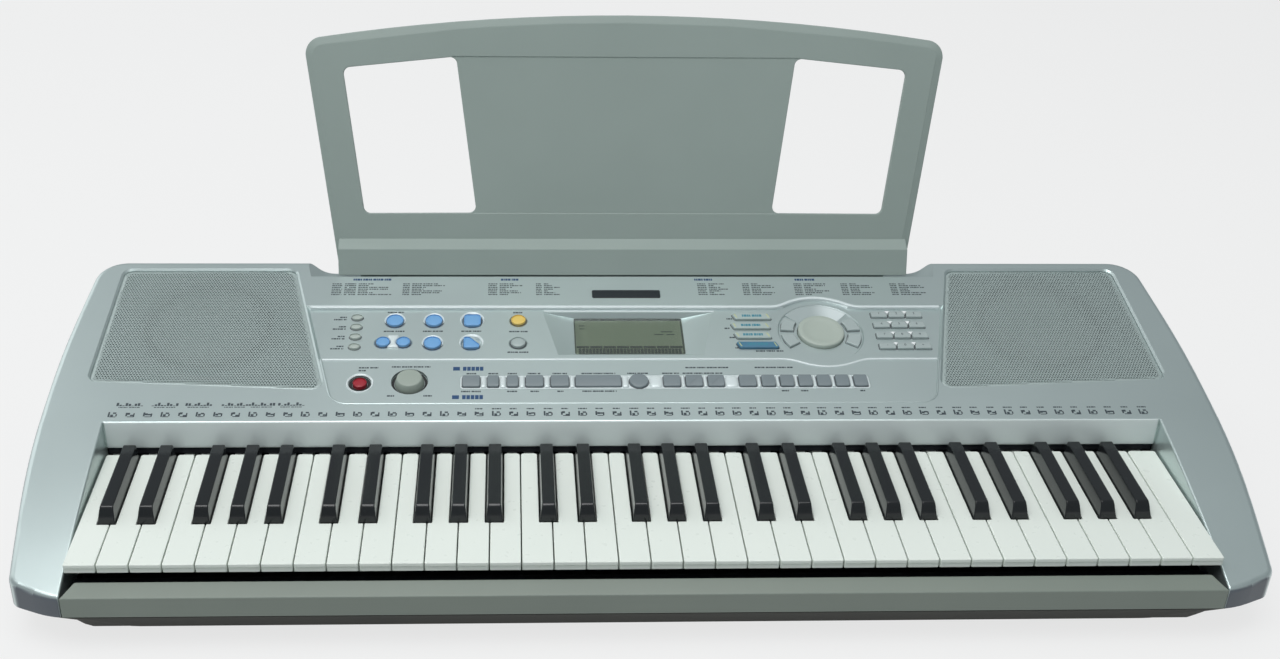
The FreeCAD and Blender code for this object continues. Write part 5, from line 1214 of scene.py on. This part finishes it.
dish = bmesh.new()
rows = []
for step in range(DISH_STEPS + 1):
    angle = DISH_START + (DISH_END - DISH_START) * step / DISH_STEPS
    row = []
    for radius, above in DISH_SWEEP:
        row.append(dish.verts.new(round_place(*DIAL_PLACE, radius, angle, above)))
    rows.append(row)
skin(dish, rows)
dish_painted_light = moulded("dish_grey_to_pale_painted_light", DISH_HIGHLIGHT_SHADES, 0.32, 0.7, 0.006, 0.1)
dish_coat = dish_painted_light.node_tree.nodes["Principled BSDF"].inputs["Base Color"]
dish_place = add_node(dish_painted_light, "TexCoord", {}, {}).outputs["Object"]
dish_across = add_node(dish_painted_light, "SeparateXYZ", {}, {0: dish_place}).outputs[0]
dish_light_share = add_node(
    dish_painted_light,
    "MapRange",
    {"interpolation_type": "SMOOTHSTEP"},
    {"Value": dish_across, "From Min": SHADED_UNTIL * MM, "From Max": HIGHLIGHT_FROM * MM},
)
dish_light_tone = add_node(
    dish_painted_light,
    "Mix",
    {"data_type": "RGBA"},
    {0: dish_light_share.outputs[0], 6: linear(DISH_SHADED_GREY), 7: dish_coat.links[0].from_socket},
)
dish_painted_light.node_tree.links.new(dish_light_tone.outputs[2], dish_coat)
closed_piece("dial_dish", dish, dish_painted_light, "case")

# Dark washers lie in the wells of the knob and the power button, painted shade in those wells: inner and
# outer radius, under and top.
WELLS = (
    ("knob_shade_washer", "volume_knob", (12.6, 14.9, -4.05, -3.75)),
    ("power_shade_washer", "power_button", (6.2, 9.1, -3.05, -2.75)),
)
for name, node, sizes in WELLS:
    washer(name, *sizes, *middle_of(node_places(node)), black_abs_and_painted_shade, "badge_dark_abs")

dial_abs = moulded("satin_pale_grey_abs", ("#A6B1A8", "#B1BBB2"), 0.42, 0.6, 0.012)
knob_abs = moulded("satin_warm_grey_abs", ("#95A097", "#A0AAA1"), 0.42, 0.6, 0.012)
TURNED = (("data_dial", DIAL_PROFILE, dial_abs), ("volume_knob", KNOB_PROFILE, knob_abs))
for node, profile, material in TURNED:
    x, along = middle_of(node_places(node))
    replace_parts(turned(node + "_turned", profile, x, along, material, node), node)


# Speakers: two drivers, each a pressed steel basket with a paper cone and a raised dust cap.
# The basket is black-painted steel; the cone is felted grey paper, whose fibres show.

cone_paper = moulded("felted_grey_paper", ("#B4BDBB", "#C3CCCA"), 0.7, 1.6, 0.06)
basket_steel = moulded("black_painted_steel", ("#3A3F40", "#454A4B"), 0.45, 1.0, 0.02)
dress("speaker_cones", cone_paper)
dress("speaker_frames", basket_steel)

# A ring of black foam seals each driver against its grille, and shows through the holes.
FOAM_INNER = 48.5
FOAM_OUTER = 54.5
FOAM_TOP_GAP = 0.7
foam_top = min(place.z for place in node_places("left_grille")) - FOAM_TOP_GAP
seal_foam = moulded("black_seal_foam", ("#101213", "#181A1B"), 0.9, 1.0, 0.1)
for name, driver in zip(("left_seal", "right_seal"), islands("speaker_frames")):
    flange = max(place.z for place in driver)
    washer(name, FOAM_INNER, FOAM_OUTER, flange, foam_top, *middle_of(driver), seal_foam, "stop_felt")


# Grilles: one perforated sheet over each speaker, let into the case.
# Punched steel, painted silver, with staggered round holes and a plain border turned over the edge.

HOLE_PITCH = 2.4
HOLE_RADIUS = 0.88
HOLE_SIDES = 6
HOLE_JOIN = 0.01
SHORTEST_RUN = 1e-4
BORDER = 3.4
BORDER_COVER = 0.9
RIM_DROP = 0.6
RIM_STEPS = ((0.05, 0.6), (0.35, 0.2), (3.0, 0.05), (0.2, -0.35))


def perforated(node, material):
    """Sheet with staggered holes inside a plain border, in the place of a plain sheet."""
    places = node_places(node)
    top = max(place.z for place in places)
    bottom = min(place.z for place in places)
    flat = [(place.x, place.y) for place in places if place.z > top - TOP_WITHIN]
    outline = [Vector(flat[index]) for index in geometry.convex_hull_2d(flat)]
    middle = sum(outline, Vector((0, 0))) / len(outline)

    low = [min(point[axis] for point in outline) for axis in (0, 1)]
    high = [max(point[axis] for point in outline) for axis in (0, 1)]
    row_pitch = HOLE_PITCH * math.sin(math.radians(60))
    points, faces = [], []
    inner_edges = []
    for start, end in zip(outline, outline[1:] + outline[:1]):
        run = end - start
        if run.length > SHORTEST_RUN:
            inner_edges.append((start, run.normalized()))
    side = 1 if (outline[1] - outline[0]).cross(middle - outline[0]) > 0 else -1
    cell_radius = HOLE_PITCH / math.sqrt(3)
    row = 0
    y = low[1]
    while y < high[1]:
        x = low[0] + (HOLE_PITCH / 2 if row % 2 else 0.0)
        while x < high[0]:
            place = Vector((x, y))
            depth_in = min(side * run.cross(place - start) for start, run in inner_edges)
            if depth_in > BORDER - BORDER_COVER:
                first = len(points)
                for radius, height in ((cell_radius, top), (HOLE_RADIUS, top), (HOLE_RADIUS, bottom)):
                    for corner in range(HOLE_SIDES):
                        angle = math.radians(30 + corner * 360 / HOLE_SIDES)
                        points.append(round_place(x, y, radius, angle, height))
                for ring in (0, HOLE_SIDES):
                    for corner in range(HOLE_SIDES):
                        after = (corner + 1) % HOLE_SIDES
                        a, b = first + ring + corner, first + ring + after
                        faces.append((a, b, b + HOLE_SIDES, a + HOLE_SIDES))
            x += HOLE_PITCH
        y += row_pitch
        row += 1
    mesh = bpy.data.meshes.new(node + "_sheet")
    mesh.from_pydata(points, [], faces)
    work = bmesh.new()
    work.from_mesh(mesh)
    bpy.data.meshes.remove(mesh)
    bmesh.ops.remove_doubles(work, verts=work.verts, dist=HOLE_JOIN * MM)
    rim = [work.verts.new(on_panel(point.x, point.y, top - RIM_DROP)) for point in outline]
    border = work.faces.new(rim if side > 0 else rim[::-1])
    for inward, lift in RIM_STEPS:
        bmesh.ops.inset_individual(work, faces=[border], thickness=inward * MM, depth=lift * MM)
    work.faces.remove(border)
    stand_in(node, "_perforated", work, material)


grille_steel = moulded("silver_painted_steel", ("#AEBBB9", "#B9C6C4"), 0.36, 0.6, 0.008, 0.4)
perforated("left_grille", grille_steel)
perforated("right_grille", grille_steel)


# Music rest: lifts off, and stands in a slot behind the panel on a tongue.
# Grey-green styrene with a fine matt grit, a bevelled rim, two windows and a ledge for the pages.

rest_styrene = moulded("spark_eroded_grey_green_styrene", ("#909D98", "#99A6A1"), 0.55, 0.7, 0.02)
eased("music_rest", rest_styrene, 0.7, sharp=12.0)


# Case screws: eight self-tapping screws that hold the two halves together from below.
# Zinc-plated steel, bright with a faint blue cast.

screw_zinc = moulded("zinc_plated_steel", ("#A9AEB4", "#BCC1C6"), 0.3, 1.2, 0.004, 1.0)
dress("case_screws", screw_zinc)


# Floor and light: a plain pale floor under three square softboxes, a broad one over the left front, a
# weak one at the left rear and a faint one above. An even grey sky keeps every side from going black.

FLOOR_SIZE = 60.0
FLOOR_SHADES = ("#BFC1C1", "#C6C8C8")
FLOOR_CLOUD = 0.4
FLOOR_GLOW = 0.75
LAMP_AIM = Vector((0.0, 0.0, 0.1))
LAMPS = (
    ("softbox", (-0.4, -0.6, 2.3), 1.8, 42.0),
    ("fill", (-2.1, 1.25, 1.2), 2.0, 13.0),
    ("top_light", (0.2, 0.7, 2.5), 1.8, 4.0),
)
SKY = "#C9D2D6"
SKY_STRENGTH = 0.4

floor_paint = empty_material("matt_floor_paint")
floor_place = add_node(floor_paint, "TexCoord", {}, {}).outputs["Object"]
floor_cloud = add_node(floor_paint, "TexNoise", {}, {"Vector": floor_place, "Scale": 1 / FLOOR_CLOUD})
floor_tone = add_node(
    floor_paint,
    "Mix",
    {"data_type": "RGBA"},
    {0: floor_cloud.outputs[0], 6: linear(FLOOR_SHADES[0]), 7: linear(FLOOR_SHADES[1])},
)
floor_grey = add_node(floor_paint, "BsdfDiffuse", {}, {"Color": floor_tone.outputs[2]})
floor_white = add_node(floor_paint, "Emission", {}, {"Color": (1, 1, 1, 1), "Strength": 1.0})
floor_seen = add_node(
    floor_paint,
    "MixShader",
    {},
    {0: FLOOR_GLOW, 1: floor_grey.outputs[0], 2: floor_white.outputs[0]},
)
paths = add_node(floor_paint, "LightPath", {}, {}).outputs
seen = paths["Is Camera Ray"]
for kind in ("Is Glossy Ray", "Is Transmission Ray"):
    seen = add_node(floor_paint, "Math", {"operation": "MAXIMUM"}, {0: seen, 1: paths[kind]}).outputs[0]
floor_shown = add_node(
    floor_paint,
    "MixShader",
    {},
    {0: seen, 1: floor_grey.outputs[0], 2: floor_seen.outputs[0]},
)
add_node(floor_paint, "OutputMaterial", {}, {"Surface": floor_shown.outputs[0]})
floor_work = bmesh.new()
bmesh.ops.create_grid(floor_work, x_segments=1, y_segments=1, size=FLOOR_SIZE / 2)
floor_mesh = bpy.data.meshes.new("floor")
floor_work.to_mesh(floor_mesh)
floor_work.free()
floor_mesh.materials.append(floor_paint)
floor = bpy.data.objects.new("floor", floor_mesh)
bpy.context.scene.collection.objects.link(floor)

for name, place, size, power in LAMPS:
    lamp = bpy.data.lights.new(name, "AREA")
    lamp.shape = "SQUARE"
    lamp.size = size
    lamp.energy = power
    holder = bpy.data.objects.new(name, lamp)
    holder.location = place
    holder.rotation_euler = (LAMP_AIM - Vector(place)).to_track_quat("-Z", "Y").to_euler()
    bpy.context.scene.collection.objects.link(holder)

world = bpy.data.worlds.new("studio")
world.use_nodes = True
sky = world.node_tree.nodes["Background"]
sky.inputs["Color"].default_value = linear(SKY)
sky.inputs["Strength"].default_value = SKY_STRENGTH
bpy.context.scene.world = world
bpy.context.scene.view_settings.view_transform = "Standard"


# Camera: a short telephoto at standing height, left of the middle and turned a little to the right.
# The picture is shifted sideways, because the lens's axis isn't in its middle.

IMAGE_WIDTH = 1280
FOCAL_PIXELS = 1526.0
AXIS_PIXEL = 564.0
SENSOR = 36.0
CAMERA_PLACE = behind_keys(-104.0, -875.97, 756.0)
CAMERA_PITCH = 29.57
CAMERA_YAW = 2.43
CAMERA_ROLL = 1.14

camera = bpy.data.cameras.new("camera")
camera.sensor_width = SENSOR
camera.lens = SENSOR * FOCAL_PIXELS / IMAGE_WIDTH
camera.shift_x = 0.5 - AXIS_PIXEL / IMAGE_WIDTH
camera.dof.use_dof = False
stand = bpy.data.objects.new("camera", camera)
pose = Matrix.Translation(CAMERA_PLACE)
for angle, axis in ((-CAMERA_YAW, "Z"), (90 - CAMERA_PITCH, "X"), (CAMERA_ROLL, "Z")):
    pose = pose @ Matrix.Rotation(math.radians(angle), 4, axis)
stand.matrix_world = pose
bpy.context.scene.collection.objects.link(stand)
bpy.context.scene.camera = stand
